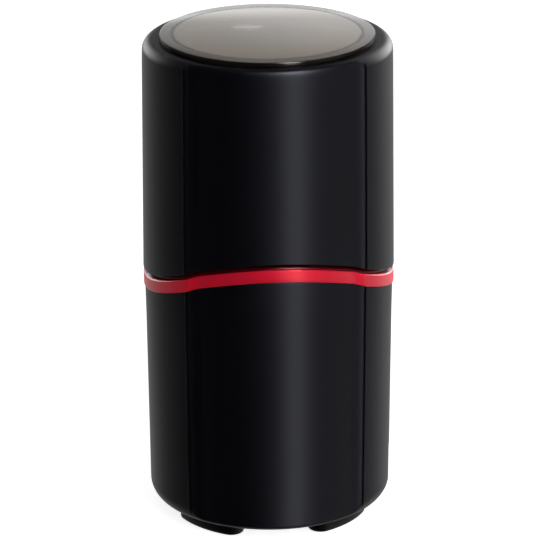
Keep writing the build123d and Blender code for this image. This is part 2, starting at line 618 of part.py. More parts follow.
def make_base_screws():
    """Screws from the base cover up into the pillars."""
    screws = []
    for x, y in PILLARS:
        screw = rod(BASE_SCREW_RADIUS, UNDERSIDE, COVER_TOP + BASE_SCREW_LENGTH - TIP_GAP, x, y)
        screws.append(screw + rod(BASE_SCREW_HEAD_RADIUS, UNDERSIDE, UNDERSIDE + BASE_SCREW_HEAD_HEIGHT, x, y))
    return group(screws)


# --- Bowl and blade -------------------------------------------------------------
def bowl_form(outward, top):
    """Solid shape of the bowl, grown outwards by its wall."""
    floor = BOWL_FLOOR - outward
    corner = BOWL_CORNER + outward
    bend = Vector(BOWL_FLOOR_RADIUS, BOWL_FLOOR + BOWL_CORNER)
    start = Vector(BOWL_FLOOR_RADIUS, floor)
    stop = bend + Vector(corner, 0)
    rim = Vector(BOWL_RADIUS + outward, BOWL_RIM)
    edges = [Line((0, floor), start), bow(bend, start, stop, corner), Line(stop, rim)]
    edges += [Line(rim, (rim.X, top)), Line((rim.X, top), (0, top)), Line((0, top), (0, floor))]
    return revolve(Plane.XZ * make_face(Wire(edges)), Axis.Z)


def make_grinding_bowl():
    """Drawn steel bowl with a flat rim."""
    bowl = bowl_form(BOWL_WALL, BOWL_RIM + BOWL_WALL) & rod(BOWL_FLANGE_RADIUS, DECK_UNDER, BOWL_RIM)
    bowl += ring(BOWL_FLANGE_RADIUS, BOWL_RADIUS, BOWL_RIM - BOWL_WALL, BOWL_RIM)
    bowl -= bowl_form(0, BOWL_RIM + CUT)
    return bowl - rod(BOWL_HOLE_RADIUS, DECK_UNDER, BOWL_RIM)


def make_bowl_gasket():
    """Ring between the bowl's rim and the collar."""
    return ring(BOWL_FLANGE_RADIUS, COLLAR_RADIUS - COLLAR_WALL, COLLAR_TOP, COLLAR_TOP + BOWL_GASKET_THICKNESS)


def make_spindle_seal():
    """Rubber seal clipped into the bowl's hole around the shaft."""
    under = BOWL_FLOOR - BOWL_WALL - SEAL_UNDERCUT
    neck = BOWL_HOLE_RADIUS - FIT
    seal = rod(neck, under, BOWL_FLOOR + SEAL_FLANGE_THICKNESS)
    seal += rod(SEAL_FLANGE_RADIUS, BOWL_FLOOR, BOWL_FLOOR + SEAL_FLANGE_THICKNESS)
    seal += rod(SEAL_FLANGE_RADIUS, under, BOWL_FLOOR - BOWL_WALL)
    return seal - rod(SHAFT_RADIUS + GUIDE, under - CUT, BLADE_UNDER)


def make_blade_hub():
    """Seat of the blade on the shaft."""
    hub = rod(HUB_RADIUS, HUB_UNDER, BLADE_UNDER)
    return hub - rod(SHAFT_RADIUS + FIT, HUB_UNDER - CUT, BLADE_UNDER + CUT)


def make_blade():
    """Two-armed blade with bent-up tips."""
    half = BLADE_SPAN / 2
    flat = BLADE_FLAT / 2
    low = BLADE_UNDER
    line = [(-half, low + BLADE_RISE), (-flat, low), (flat, low), (half, low + BLADE_RISE)]
    upper = [(x, z + BLADE_THICKNESS) for x, z in reversed(line)]
    strip = extrude(Plane.XZ * make_face(Polyline(line + upper, close=True)), BLADE_WIDTH, both=True)
    back = BLADE_WIDTH / 2
    tip = back - BLADE_TIP_WIDTH
    plan = [(-half, -back), (flat, -back), (half, tip), (half, back), (-flat, back), (-half, -tip)]
    outline = make_face(Polyline(plan, close=True))
    blade = strip & Pos(0, 0, low - CUT) * extrude(outline, BLADE_RISE + BLADE_THICKNESS + 2 * CUT)
    return blade - rod(SHAFT_RADIUS + FIT, low - CUT, NUT_UNDER + CUT)


def make_blade_nut():
    """Domed hexagon nut over the blade."""
    height = NUT_HEIGHT
    nut = Pos(0, 0, NUT_UNDER) * extrude(RegularPolygon(NUT_RADIUS, 6), height)
    nut &= Pos(0, 0, NUT_UNDER + height - 2 * NUT_RADIUS) * Sphere(2 * NUT_RADIUS)
    return nut - rod(SHAFT_RADIUS + FIT, NUT_UNDER - CUT, NUT_UNDER + height / 2)


# --- Motor: what turns ------------------------------------------------------------
def make_motor_shaft():
    """Shaft from the lower bushing up into the blade nut."""
    return rod(SHAFT_RADIUS, LOWER_PLATE_TOP - BUSHING_LENGTH + FREE, NUT_UNDER + NUT_HEIGHT / 2 - FIT)


def slot_angles(count):
    """Even angles around the axis."""
    return [index * 360 / count for index in range(count)]


def make_armature_core():
    """Slotted lamination stack on the shaft."""
    core = ring(ARMATURE_RADIUS, SHAFT_RADIUS + FIT, STACK_UNDER, STACK_TOP)
    outer = ARMATURE_RADIUS - SLOT_MOUTH
    half = SLOT_WIDTH / 2
    slot = block(outer - SLOT_DEPTH, outer, -half, half, STACK_UNDER - CUT, STACK_TOP + CUT)
    mouth = SLOT_MOUTH_WIDTH / 2
    slot += block(outer - CUT, ARMATURE_RADIUS + CUT, -mouth, mouth, STACK_UNDER - CUT, STACK_TOP + CUT)
    for angle in slot_angles(ARMATURE_SLOTS):
        core -= turned(slot, angle)
    return core


def make_armature_windings():
    """Copper windings: a bar in each slot and a bundle at each end."""
    inner = ARMATURE_RADIUS - SLOT_MOUTH - SLOT_DEPTH + SEAT
    half = SLOT_WIDTH / 2 - SEAT
    bulge = ring(WINDING_RADIUS, WINDING_BORE, STACK_TOP, STACK_TOP + WINDING_OVERHANG)
    windings = bulge + Pos(0, 0, STACK_UNDER - WINDING_OVERHANG - STACK_TOP) * bulge
    low = STACK_UNDER - WINDING_OVERHANG / 2
    bar = block(inner, WINDING_RADIUS, -half, half, low, STACK_TOP + WINDING_OVERHANG / 2)
    for angle in slot_angles(ARMATURE_SLOTS):
        windings += turned(bar, angle)
    return windings


def make_commutator():
    """Copper drum with separated bars."""
    low = COMMUTATOR_TOP - COMMUTATOR_LENGTH
    drum_body = ring(COMMUTATOR_RADIUS, SHAFT_RADIUS + FIT, low, COMMUTATOR_TOP)
    inner = COMMUTATOR_RADIUS - BAR_DEPTH
    gap = block(inner, COMMUTATOR_RADIUS + CUT, -BAR_GAP / 2, BAR_GAP / 2, low - CUT, COMMUTATOR_TOP + CUT)
    for angle in slot_angles(COMMUTATOR_BARS):
        drum_body -= turned(gap, angle)
    return drum_body


def make_cooling_fan():
    """Fan under the upper bracket."""
    top = UPPER_PLATE_UNDER - FAN_GAP
    low = top - FAN_HEIGHT
    fan = rod(FAN_RADIUS, low, low + FAN_DISC_THICKNESS)
    fan += rod(FAN_HUB_RADIUS, low, top)
    half = FAN_BLADE_THICKNESS / 2
    vane = block(FAN_HUB_RADIUS / 2, FAN_RADIUS - FAN_BLADE_THICKNESS, -half, half, low + FAN_DISC_THICKNESS / 2, top)
    for angle in slot_angles(FAN_BLADES):
        fan += turned(vane, angle)
    return fan - rod(SHAFT_RADIUS + FIT, low - CUT, top + CUT)


# --- Motor: what stands still -----------------------------------------------------
def motor_plate(low, high):
    """Rounded plate as large as the lamination stack."""
    return Pos(0, 0, low) * extrude(RectangleRounded(STATOR_WIDTH, STATOR_DEPTH, STATOR_CORNER), high - low)


def drilled(shape, gap=SEAT):
    """Cut the long motor screws' holes."""
    for x, y in CORNERS:
        shape -= rod(MOTOR_SCREW_RADIUS + gap, UNDERSIDE, DECK_UNDER, x, y)
    return shape


def coil_legs(side, gap, low, high):
    """Two legs of a field coil, grown by a gap."""
    inner = ARMATURE_RADIUS + AIR_GAP + RUNNING - gap
    outer = ARMATURE_RADIUS + AIR_GAP + COIL_THICKNESS + gap
    spread = math.degrees(gap / outer)
    legs = []
    for way in (1, -1):
        near = side + way * (COIL_HALF_ANGLE - COIL_LEG_ANGLE - spread)
        far = side + way * (COIL_HALF_ANGLE + spread)
        legs.append(sector(outer, inner, min(near, far), max(near, far), low, high))
    return legs


def make_stator_core():
    """Lamination stack with the bore and the coil slots."""
    core = motor_plate(STACK_UNDER, STACK_TOP)
    core -= rod(ARMATURE_RADIUS + AIR_GAP, STACK_UNDER - CUT, STACK_TOP + CUT)
    for side in (90, 270):
        for leg in coil_legs(side, SEAT, STACK_UNDER - CUT, STACK_TOP + CUT):
            core -= leg
    return drilled(core)


def make_stator_coils():
    """Two field coils, each a closed loop through a pair of slots."""
    coils = []
    inner = ARMATURE_RADIUS + AIR_GAP + RUNNING
    outer = ARMATURE_RADIUS + AIR_GAP + COIL_THICKNESS
    for side in (90, 270):
        start = side - COIL_HALF_ANGLE
        stop = side + COIL_HALF_ANGLE
        coil = sector(outer, inner, start, stop, STACK_TOP, STACK_TOP + COIL_OVERHANG)
        coil += sector(outer, inner, start, stop, STACK_UNDER - COIL_OVERHANG, STACK_UNDER)
        for leg in coil_legs(side, 0, STACK_UNDER - COIL_OVERHANG / 2, STACK_TOP + COIL_OVERHANG / 2):
            coil += leg
        coils.append(coil)
    return group(coils)


def make_upper_bracket():
    """Plate with the upper bearing, on posts over the stator."""
    bracket = motor_plate(UPPER_PLATE_UNDER, UPPER_PLATE_TOP)
    for x, y in CORNERS:
        bracket += rod(POST_RADIUS, STACK_TOP, UPPER_PLATE_TOP, x, y)
    bracket += rod(BRACKET_BOSS_RADIUS, UPPER_PLATE_UNDER, UPPER_PLATE_TOP + MOUNT_HEIGHT / 2)
    for middle in slot_angles(AIR_WINDOWS):
        reach = STATOR_DEPTH / 2 - POST_RADIUS
        low = UPPER_PLATE_UNDER - CUT
        start = middle - AIR_WINDOW_HALF_ANGLE
        stop = middle + AIR_WINDOW_HALF_ANGLE
        bracket -= sector(reach, BRACKET_BOSS_RADIUS + POST_RADIUS, start, stop, low, UPPER_PLATE_TOP + CUT)
    bracket -= rod(BUSHING_RADIUS + FIT, UPPER_PLATE_UNDER - CUT, DECK_UNDER)
    return drilled(bracket)


def make_lower_bracket():
    """Plate with the lower bearing, on posts under the stator."""
    bracket = motor_plate(LOWER_PLATE_UNDER, LOWER_PLATE_TOP)
    for x, y in CORNERS:
        bracket += rod(POST_RADIUS, LOWER_PLATE_UNDER, STACK_UNDER, x, y)
    bracket += rod(BRACKET_BOSS_RADIUS, LOWER_PLATE_TOP - BRACKET_BOSS_DEPTH, LOWER_PLATE_TOP)
    bracket -= rod(BUSHING_RADIUS + FIT, UNDERSIDE, LOWER_PLATE_TOP + CUT)
    return drilled(bracket)


def bushing(low):
    """Sintered bearing bush."""
    return ring(BUSHING_RADIUS, SHAFT_RADIUS + RUNNING, low, low + BUSHING_LENGTH)


def make_motor_mounts():
    """Rubber rings between the upper bracket and the deck."""
    inside = MOTOR_SCREW_RADIUS + SEAT
    mounts = []
    for x, y in CORNERS:
        mount = rod(MOUNT_RADIUS, UPPER_PLATE_TOP, DECK_UNDER, x, y)
        mounts.append(mount - rod(inside, UPPER_PLATE_TOP - CUT, DECK_UNDER + CUT, x, y))
    return group(mounts)


def make_motor_screws():
    """Long screws that clamp the motor to the deck's bosses."""
    tip = DECK_TOP + MOTOR_BOSS_HEIGHT - 2 * TIP_GAP
    head_under = LOWER_PLATE_UNDER - MOTOR_SCREW_HEAD_HEIGHT
    screws = []
    for x, y in CORNERS:
        screw = rod(MOTOR_SCREW_RADIUS, LOWER_PLATE_UNDER - MOTOR_SCREW_HEAD_HEIGHT / 2, tip, x, y)
        head = rod(MOTOR_SCREW_HEAD_RADIUS, head_under, LOWER_PLATE_UNDER, x, y)
        screws.append(screw + head)
    return group(screws)


def make_brush_boxes():
    """Guides of the brushes, front and rear of the commutator."""
    near = COMMUTATOR_RADIUS + BRUSH_BOX_OFFSET
    half = BRUSH_WIDTH / 2
    low = BRUSH_HEIGHT_MIDDLE - BRUSH_HEIGHT / 2
    high = BRUSH_HEIGHT_MIDDLE + BRUSH_HEIGHT / 2
    outer = half + BRUSH_BOX_WALL
    box = block(near, near + BRUSH_BOX_LENGTH, -outer, outer, LOWER_PLATE_TOP, high + BRUSH_BOX_WALL)
    tunnel = block(near - CUT, near + BRUSH_BOX_LENGTH + CUT, -half - SEAT, half + SEAT, low - SEAT, high + SEAT)
    return group(turned(box - tunnel, angle) for angle in (0, 180))


def make_brushes():
    """Carbon brushes that run on the commutator."""
    half = BRUSH_WIDTH / 2
    low = BRUSH_HEIGHT_MIDDLE - BRUSH_HEIGHT / 2
    brush = block(COMMUTATOR_RADIUS - CUT, COMMUTATOR_RADIUS + BRUSH_LENGTH, -half, half, low, low + BRUSH_HEIGHT)
    brush -= rod(COMMUTATOR_RADIUS + RUNNING, low - CUT, low + BRUSH_HEIGHT + CUT)
    return group(turned(brush, angle) for angle in (0, 180))


# --- Switch ---------------------------------------------------------------------
def make_push_rod():
    """Rod from the lid's tab down to the switch, with a foot under the deck."""
    half = ROD_FOOT_WIDTH / 2
    stem = rod(ROD_RADIUS, FOOT_UNDER, ROD_TOP, ROD_PLACE)
    return stem + block(ROD_PLACE - ROD_FOOT_REACH, ROD_PLACE + ROD_RADIUS, -half, half, FOOT_UNDER, DECK_UNDER)


def make_rod_clip():
    """Ring on the rod that the spring pushes against."""
    low = DECK_TOP + SPRING_LENGTH
    clip = rod(CLIP_RADIUS, low, low + CLIP_THICKNESS, ROD_PLACE)
    return clip - rod(ROD_RADIUS + FIT, low - CUT, low + CLIP_THICKNESS + CUT, ROD_PLACE)


def make_press_spring():
    """Coil spring that lifts the rod and the lid."""
    coil = SPRING_LENGTH - 2 * SPRING_WIRE - 2 * TOUCH
    path = Helix(coil / SPRING_TURNS, coil, SPRING_RADIUS)
    start = path @ 0
    profile = Plane(origin=start, z_dir=path % 0) * Circle(SPRING_WIRE)
    return Pos(ROD_PLACE, 0, DECK_TOP + SPRING_WIRE + TOUCH) * sweep(profile, path=path)


def switch_screw_holes(gap):
    """Shanks of the switch screws, grown by a gap."""
    low = SWITCH_TOP - SWITCH_HEIGHT + SWITCH_SCREW_RISE
    inner = SWITCH_PLACE - SWITCH_WIDTH / 2 - SWITCH_RIB
    outer = SWITCH_PLACE + SWITCH_WIDTH / 2
    half = SWITCH_SCREW_SPACING / 2
    radius = SWITCH_SCREW_RADIUS + gap
    return lying(radius, inner - gap, outer, half, low) + lying(radius, inner - gap, outer, -half, low)


def make_switch_case():
    """Microswitch case with the lever's ears and pin."""
    left = SWITCH_PLACE - SWITCH_WIDTH / 2
    right = SWITCH_PLACE + SWITCH_WIDTH / 2
    half = SWITCH_LENGTH / 2
    case = block(left, right, -half, half, SWITCH_TOP - SWITCH_HEIGHT, SWITCH_TOP)
    pin_height = LEVER_UNDER + LEVER_THICKNESS / 2
    ear = 2 * LEVER_PIN_RADIUS
    room = LEVER_WIDTH / 2 + FREE
    for x0, x1 in ((left, SWITCH_PLACE - room), (SWITCH_PLACE + room, right)):
        case += block(x0, x1, LEVER_PIVOT_Y - ear, LEVER_PIVOT_Y + ear, SWITCH_TOP - CUT, pin_height + ear)
    case += lying(LEVER_PIN_RADIUS, left, right, LEVER_PIVOT_Y, pin_height)
    well = LEVER_PIVOT_Y - BUTTON_ARM
    depth = BUTTON_TOP - BUTTON_LENGTH - PRESS_TRAVEL - TOUCH
    case -= rod(BUTTON_RADIUS + GUIDE, depth, SWITCH_TOP + CUT, SWITCH_PLACE, well)
    case -= switch_screw_holes(SEAT)
    return case - switch_screw_heads(SEAT)


def switch_screw_heads(gap=0.0):
    """Sunk heads of the switch screws."""
    low = SWITCH_TOP - SWITCH_HEIGHT + SWITCH_SCREW_RISE
    outer = SWITCH_PLACE + SWITCH_WIDTH / 2
    half = SWITCH_SCREW_SPACING / 2
    sunk = outer - SWITCH_SCREW_SINK - gap
    heads = [lying(SWITCH_SCREW_HEAD + gap, sunk, outer, way * half, low) for way in (1, -1)]
    return heads[0] + heads[1]


def make_switch_screws():
    """Screws that hold the switch to its rib."""
    return group((switch_screw_holes(0) + switch_screw_heads()).solids())


def make_switch_button():
    """Domed plunger of the switch."""
    low = BUTTON_TOP - BUTTON_LENGTH
    middle = BUTTON_TOP - BUTTON_DOME
    dome = Pos(0, 0, middle) * Sphere(BUTTON_DOME)
    button = rod(BUTTON_RADIUS, low, middle) + (rod(BUTTON_RADIUS, middle, BUTTON_TOP) & dome)
    return Pos(SWITCH_PLACE, LEVER_PIVOT_Y - BUTTON_ARM, 0) * button


def make_switch_lever():
    """Lever between the rod's foot and the plunger."""
    left = SWITCH_PLACE - LEVER_WIDTH / 2
    right = SWITCH_PLACE + LEVER_WIDTH / 2
    bead = LEVER_PIVOT_Y - LEVER_ARM
    middle = LEVER_UNDER + LEVER_THICKNESS / 2
    lever = block(left, right, bead, LEVER_PIVOT_Y, LEVER_UNDER, LEVER_UNDER + LEVER_THICKNESS)
    lever += lying(LEVER_BEAD_RADIUS, left, right, bead, LEVER_UNDER + LEVER_BEAD_RADIUS)
    lever += lying(2 * LEVER_PIN_RADIUS, left, right, LEVER_PIVOT_Y, middle)
    return lever - lying(LEVER_PIN_RADIUS + RUNNING, left - CUT, right + CUT, LEVER_PIVOT_Y, middle)


# --- Cord entry -----------------------------------------------------------------
def make_cord_gland():
    """Rubber gland in the slot of the housing, with a tongue that fills the slot below it."""
    gland = lying(GLAND_FLANGE_RADIUS, FLAT_PLACE, FLAT_PLACE + GLAND_FLANGE_THICKNESS, 0, ENTRY_HEIGHT)
    gland += entry_slot() - entry_flat()
    gland -= lying(GLAND_BORE, FLAT_PLACE - BEYOND, FLAT_PLACE + BEYOND, 0, ENTRY_HEIGHT)
    whole = turned(gland, ENTRY_ANGLE)
    proud = turned(block(FLAT_PLACE - CUT, FLAT_PLACE + BEYOND, -BEYOND, BEYOND, COVER_TOP, ENTRY_TOP), ENTRY_ANGLE)
    return (whole & (housing_outside() + proud)) - rod(COVER_RADIUS + SEAT, UNDERSIDE - CUT, COVER_TOP)


def make_cord_clamp():
    """Saddle behind the gland."""
    half = CLAMP_LENGTH / 2
    clamp = block(CLAMP_PLACE - CLAMP_WIDTH / 2, CLAMP_PLACE + CLAMP_WIDTH / 2, -half, half, COVER_TOP,
                  COVER_TOP + CLAMP_HEIGHT)
    clamp -= lying(CLAMP_NOTCH, CLAMP_PLACE - CLAMP_WIDTH, CLAMP_PLACE + CLAMP_WIDTH, 0, ENTRY_HEIGHT)
    clamp = turned(clamp, ENTRY_ANGLE)
    for screw in clamp_screw_shanks(FIT):
        clamp -= screw
    return clamp


def clamp_screw_shanks(gap=0.0):
    """Shanks of the clamp's screws, grown by a gap."""
    half = CLAMP_SCREW_SPACING / 2
    low = UNDERSIDE + COVER_THICKNESS / 3
    radius = CLAMP_SCREW_RADIUS + gap
    high = COVER_TOP + CLAMP_HEIGHT
    return [turned(rod(radius, low, high, CLAMP_PLACE, way * half), ENTRY_ANGLE) for way in (1, -1)]


def make_clamp_screws():
    """Screws through the clamp into the base cover."""
    top = COVER_TOP + CLAMP_HEIGHT
    half = CLAMP_SCREW_SPACING / 2
    screws = []
    for way, shank in zip((1, -1), clamp_screw_shanks()):
        head = rod(CLAMP_WIDTH / 2, top, top + CLAMP_SCREW_RADIUS, CLAMP_PLACE, way * half)
        screws.append(shank + turned(head, ENTRY_ANGLE))
    return group(screws)


def make_terminal_block():
    """Two-way terminal block on the base cover."""
    half = TERMINAL_LENGTH / 2
    top = COVER_TOP + TERMINAL_HEIGHT
    block_body = block(TERMINAL_PLACE - TERMINAL_WIDTH / 2, TERMINAL_PLACE + TERMINAL_WIDTH / 2, -half, half,
                       COVER_TOP, top)
    for way in (1, -1):
        block_body -= rod(TERMINAL_WELL, top - TERMINAL_WELL * 3, top + CUT, TERMINAL_PLACE, way * half / 2)
    return turned(block_body, 270)


# --- All pieces -----------------------------------------------------------------
PIECES = {
    "lid_shell": make_lid_shell,
    "lid_window": make_lid_window,
    "lid_liner": make_lid_liner,
    "lid_gasket": make_lid_gasket,
    "lid_screws": make_lid_screws,
    "body_housing": make_body_housing,
    "bowl_carrier": make_bowl_carrier,
    "trim_ring": make_trim_ring,
    "base_cover": make_base_cover,
    "base_screws": make_base_screws,
    "grinding_bowl": make_grinding_bowl,
    "bowl_gasket": make_bowl_gasket,
    "spindle_seal": make_spindle_seal,
    "blade_hub": make_blade_hub,
    "blade": make_blade,
    "blade_nut": make_blade_nut,
    "motor_shaft": make_motor_shaft,
    "armature_core": make_armature_core,
    "armature_windings": make_armature_windings,
    "commutator": make_commutator,
    "cooling_fan": make_cooling_fan,
    "stator_core": make_stator_core,
    "stator_coils": make_stator_coils,
    "upper_bracket": make_upper_bracket,
    "lower_bracket": make_lower_bracket,
    "upper_bushing": lambda: bushing(UPPER_PLATE_UNDER),
    "lower_bushing": lambda: bushing(LOWER_PLATE_TOP - BUSHING_LENGTH),
    "motor_mounts": make_motor_mounts,
    "motor_screws": make_motor_screws,
    "brush_boxes": make_brush_boxes,
    "carbon_brushes": make_brushes,
    "push_rod": make_push_rod,
    "rod_clip": make_rod_clip,
    "press_spring": make_press_spring,
    "switch_case": make_switch_case,
    "switch_screws": make_switch_screws,
    "switch_button": make_switch_button,
    "switch_lever": make_switch_lever,
    "cord_gland": make_cord_gland,
    "cord_clamp": make_cord_clamp,
    "clamp_screws": make_clamp_screws,
    "terminal_block": make_terminal_block,
}

os.makedirs("parts", exist_ok=True)
for name, make in PIECES.items():
    export_step(make(), f"parts/{name}.step")
for name, angle in zip(FEET, foot_angles()):
    export_step(make_foot(angle), f"parts/{name}.step")
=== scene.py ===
import logging
import math
from dataclasses import dataclass
from enum import Enum

import bmesh
import bpy
import numpy as np
from mathutils import Matrix, Vector


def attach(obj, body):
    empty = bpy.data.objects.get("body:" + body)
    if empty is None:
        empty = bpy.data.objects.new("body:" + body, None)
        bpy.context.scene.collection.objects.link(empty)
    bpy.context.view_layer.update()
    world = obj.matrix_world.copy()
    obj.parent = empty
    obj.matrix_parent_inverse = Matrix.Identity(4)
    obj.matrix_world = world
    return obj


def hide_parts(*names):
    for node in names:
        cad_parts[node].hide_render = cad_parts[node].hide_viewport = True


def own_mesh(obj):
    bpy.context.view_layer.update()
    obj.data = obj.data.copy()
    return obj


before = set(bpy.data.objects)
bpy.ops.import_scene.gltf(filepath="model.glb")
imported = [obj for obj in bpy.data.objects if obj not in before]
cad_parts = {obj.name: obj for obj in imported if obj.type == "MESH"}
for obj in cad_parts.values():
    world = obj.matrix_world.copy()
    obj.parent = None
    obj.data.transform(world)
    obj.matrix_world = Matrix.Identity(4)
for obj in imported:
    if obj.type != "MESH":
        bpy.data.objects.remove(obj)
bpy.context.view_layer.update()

MM = 0.001
QUARTER = math.pi / 2    # a right angle
CREASE = 38.0            # degrees above which an edge stays sharp
CARVED_CREASE = 30.0     # the same, once something is cut out
WELD = 0.002 * MM        # points nearer than this become one
SPECK = 0.001 * MM       # edges shorter than this are dissolved
FULLEST = 0.48           # the most of a side that one rounding may take
HAIR = 0.0001            # radius in millimetres that stands for the axis
STEP = 0.01              # height in millimetres of a face that reads as level
LOG = logging.getLogger("spice_grinder")


# --- Mesh tools -------------------------------------------------------------------
class Sheet:
    """Vertices and faces gathered from bands of rings, then made into one object."""

    def __init__(self) -> None:
        """Start with nothing gathered."""
        self.points: list[np.ndarray] = []
        self.faces: list[tuple[int, ...]] = []
        self.count = 0

    def band(self, rings: list[np.ndarray], loop: bool = False, wrap: bool = True) -> None:
        """Join neighbouring rings with four-sided faces.

        Args:
            rings: arrays of shape (columns, 3), all of one length, in metres.
            loop: whether the last ring joins the first, as in a hollow ring.
            wrap: whether each ring is closed.
        """
        columns = len(rings[0])
        base = self.count
        self.points.extend(rings)
        self.count += columns * len(rings)
        spans = len(rings) if loop else len(rings) - 1
        steps = columns if wrap else columns - 1
        for row in range(spans):
            here = base + row * columns
            there = base + ((row + 1) % len(rings)) * columns
            for column in range(steps):
                after = (column + 1) % columns
                self.faces.append((here + column, here + after, there + after, there + column))

    def build(self, name: str, crease: float = CREASE) -> bpy.types.Object:
        """Make the object, with its normals facing out and its sharp edges marked.

        Args:
            name: the piece's name.
            crease: angle in degrees above which an edge stays sharp.

        Returns:
            The new object, linked to the scene.
        """
        mesh = bpy.data.meshes.new(name)
        mesh.from_pydata(np.concatenate(self.points).tolist(), [], self.faces)
        obj = placed(name, mesh)
        tidy(obj, crease)
        return obj


def placed(name: str, data: bpy.types.ID) -> bpy.types.Object:
    """Make an object and link it to the scene.

    Args:
        name: its name.
        data: its mesh, lamp or camera.

    Returns:
        The new object.
    """
    obj = bpy.data.objects.new(name, data)
    bpy.context.scene.collection.objects.link(obj)
    return obj


def cutter(name: str, work: bmesh.types.BMesh) -> bpy.types.Object:
    """Turn a finished solid into an object to cut with.

    Args:
        name: its name.
        work: the solid, which is freed.

    Returns:
        The new object.
    """
    mesh = bpy.data.meshes.new(name)
    work.to_mesh(mesh)
    work.free()
    return placed(name, mesh)


def tidy(obj: bpy.types.Object, crease: float = CREASE) -> None:
    """Weld doubled points, turn the faces out and mark the sharp edges.

    Args:
        obj: the mesh object.
        crease: angle in degrees above which an edge stays sharp.
    """
    work = bmesh.new()
    work.from_mesh(obj.data)
    bmesh.ops.remove_doubles(work, verts=work.verts, dist=WELD)
    bmesh.ops.dissolve_degenerate(work, edges=work.edges, dist=SPECK)
    bmesh.ops.recalc_face_normals(work, faces=work.faces)
    work.to_mesh(obj.data)
    work.free()
    obj.data.polygons.foreach_set("use_smooth", [True] * len(obj.data.polygons))
    obj.data.set_sharp_from_angle(angle=math.radians(crease))


def carve(obj: bpy.types.Object, cutters: list[bpy.types.Object]) -> None:
    """Cut other closed meshes out of an object and delete them.

    Args:
        obj: the object that is cut.
        cutters: the closed meshes to cut away.
    """
    for solid in cutters:
        change = obj.modifiers.new("carve", "BOOLEAN")
        change.operation = "DIFFERENCE"
        change.solver = "EXACT"
        change.object = solid
    graph = bpy.context.evaluated_depsgraph_get()
    graph.update()
    mesh = bpy.data.meshes.new_from_object(obj.evaluated_get(graph))
    obj.modifiers.clear()
    old = obj.data
    obj.data = mesh
    mesh.name = obj.name
    bpy.data.meshes.remove(old)
    for solid in cutters:
        bpy.data.objects.remove(solid)
    tidy(obj, CARVED_CREASE)


def around(radius: float, turn: float, height: float) -> Vector:
    """Point at an angle in radians from the front, on a circle about the axis."""
    return Vector((radius * math.sin(turn), -radius * math.cos(turn), height))


def beside(turn: float) -> Vector:
    """Level direction along the circle at an angle in radians from the front."""
    return Vector((math.cos(turn), math.sin(turn), 0.0))


def away(azimuth: float, elevation: float) -> Vector:
    """Direction from the object towards an azimuth and an elevation in degrees."""
    turn, rise = math.radians(azimuth), math.radians(elevation)
    return Vector((math.sin(turn) * math.cos(rise), -math.cos(turn) * math.cos(rise), math.sin(rise)))


def circle(radius: float, height: float, columns: int) -> np.ndarray:
    """One level ring of points about the axis."""
    turn = np.linspace(0, 2 * math.pi, columns, endpoint=False)
    return np.stack([radius * np.sin(turn), -radius * np.cos(turn), np.full(columns, height)], 1)


def cap(ring: np.ndarray) -> np.ndarray:
    """Ring drawn together to its middle, which closes an end."""
    return np.repeat(ring.mean(0)[None, :], len(ring), 0)


def bent(start: np.ndarray, tip: np.ndarray, stop: np.ndarray, share: float) -> np.ndarray:
    """Point part of the way along a bend from start to stop that leans towards a tip."""
    return (1 - share) ** 2 * start + 2 * share * (1 - share) * tip + share ** 2 * stop


def corner(start: tuple[float, float], tip: tuple[float, float], stop: tuple[float, float],
           steps: int = 5) -> list[tuple[float, float]]:
    """Rounded corner of a profile, from start to stop, in place of a sharp tip."""
    first, middle, last = np.array(start), np.array(tip), np.array(stop)
    return [tuple(bent(first, middle, last, step / steps)) for step in range(steps + 1)]


def rounded(profile: list[tuple[float, float]], radii: dict[int, float]) -> list[tuple[float, float]]:
    """Round some corners of a closed profile.

    Args:
        profile: (radius, height) points in order, closed.
        radii: how far back each numbered corner's rounding starts.

    Returns:
        The profile with those corners rounded.
    """
    points = []
    for index, tip in enumerate(profile):
        back = radii.get(index)
        if not back:
            points.append(tip)
            continue
        ends = []
        for other in (profile[index - 1], profile[(index + 1) % len(profile)]):
            reach = math.dist(tip, other)
            share = min(back, reach * FULLEST) / reach
            ends.append((tip[0] + (other[0] - tip[0]) * share, tip[1] + (other[1] - tip[1]) * share))
        points += corner(ends[0], tip, ends[1])
    return points


def fitted(obj: bpy.types.Object, body: str, finish: "Finish", slot: str, *nodes: str) -> bpy.types.Object:
    """Dress a piece, hang it on its body and let it stand for its nodes.

    Args:
        obj: the piece.
        body: the body that it moves with.
        finish: what it is made of.
        slot: the material slot in the record; not used.
        nodes: the nodes that it stands for.

    Returns:
        The same object.
    """
    obj.data.materials.clear()
    obj.data.materials.append(finish.material())
    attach(obj, body)
    if nodes:
        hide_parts(*nodes)
    LOG.info("%s on %s: %d faces", obj.name, body, len(obj.data.polygons))
    return obj


# --- Finishes ---------------------------------------------------------------------
class Grain(Enum):
    """Pattern that a finish's fine relief follows."""

    SPECKLE = "speckle"
    SPUN = "spun"
    STREAKS = "streaks"
    LAYERS = "layers"
    WOUND = "wound"


FINE_SHARE = 0.45           # how far the fine relief, and not the broad clouding, sets tone and sheen
TONE_ENDS = (0.25, 0.75)    # heights at which the darkest and the lightest tone are reached
SPUN_TURN = 0.0008          # scale of the angle in a spun grain, per millimetre of grain
STREAK = (0.02, 1.0, 1.0)   # scale of a streaked grain along the piece, across it and up


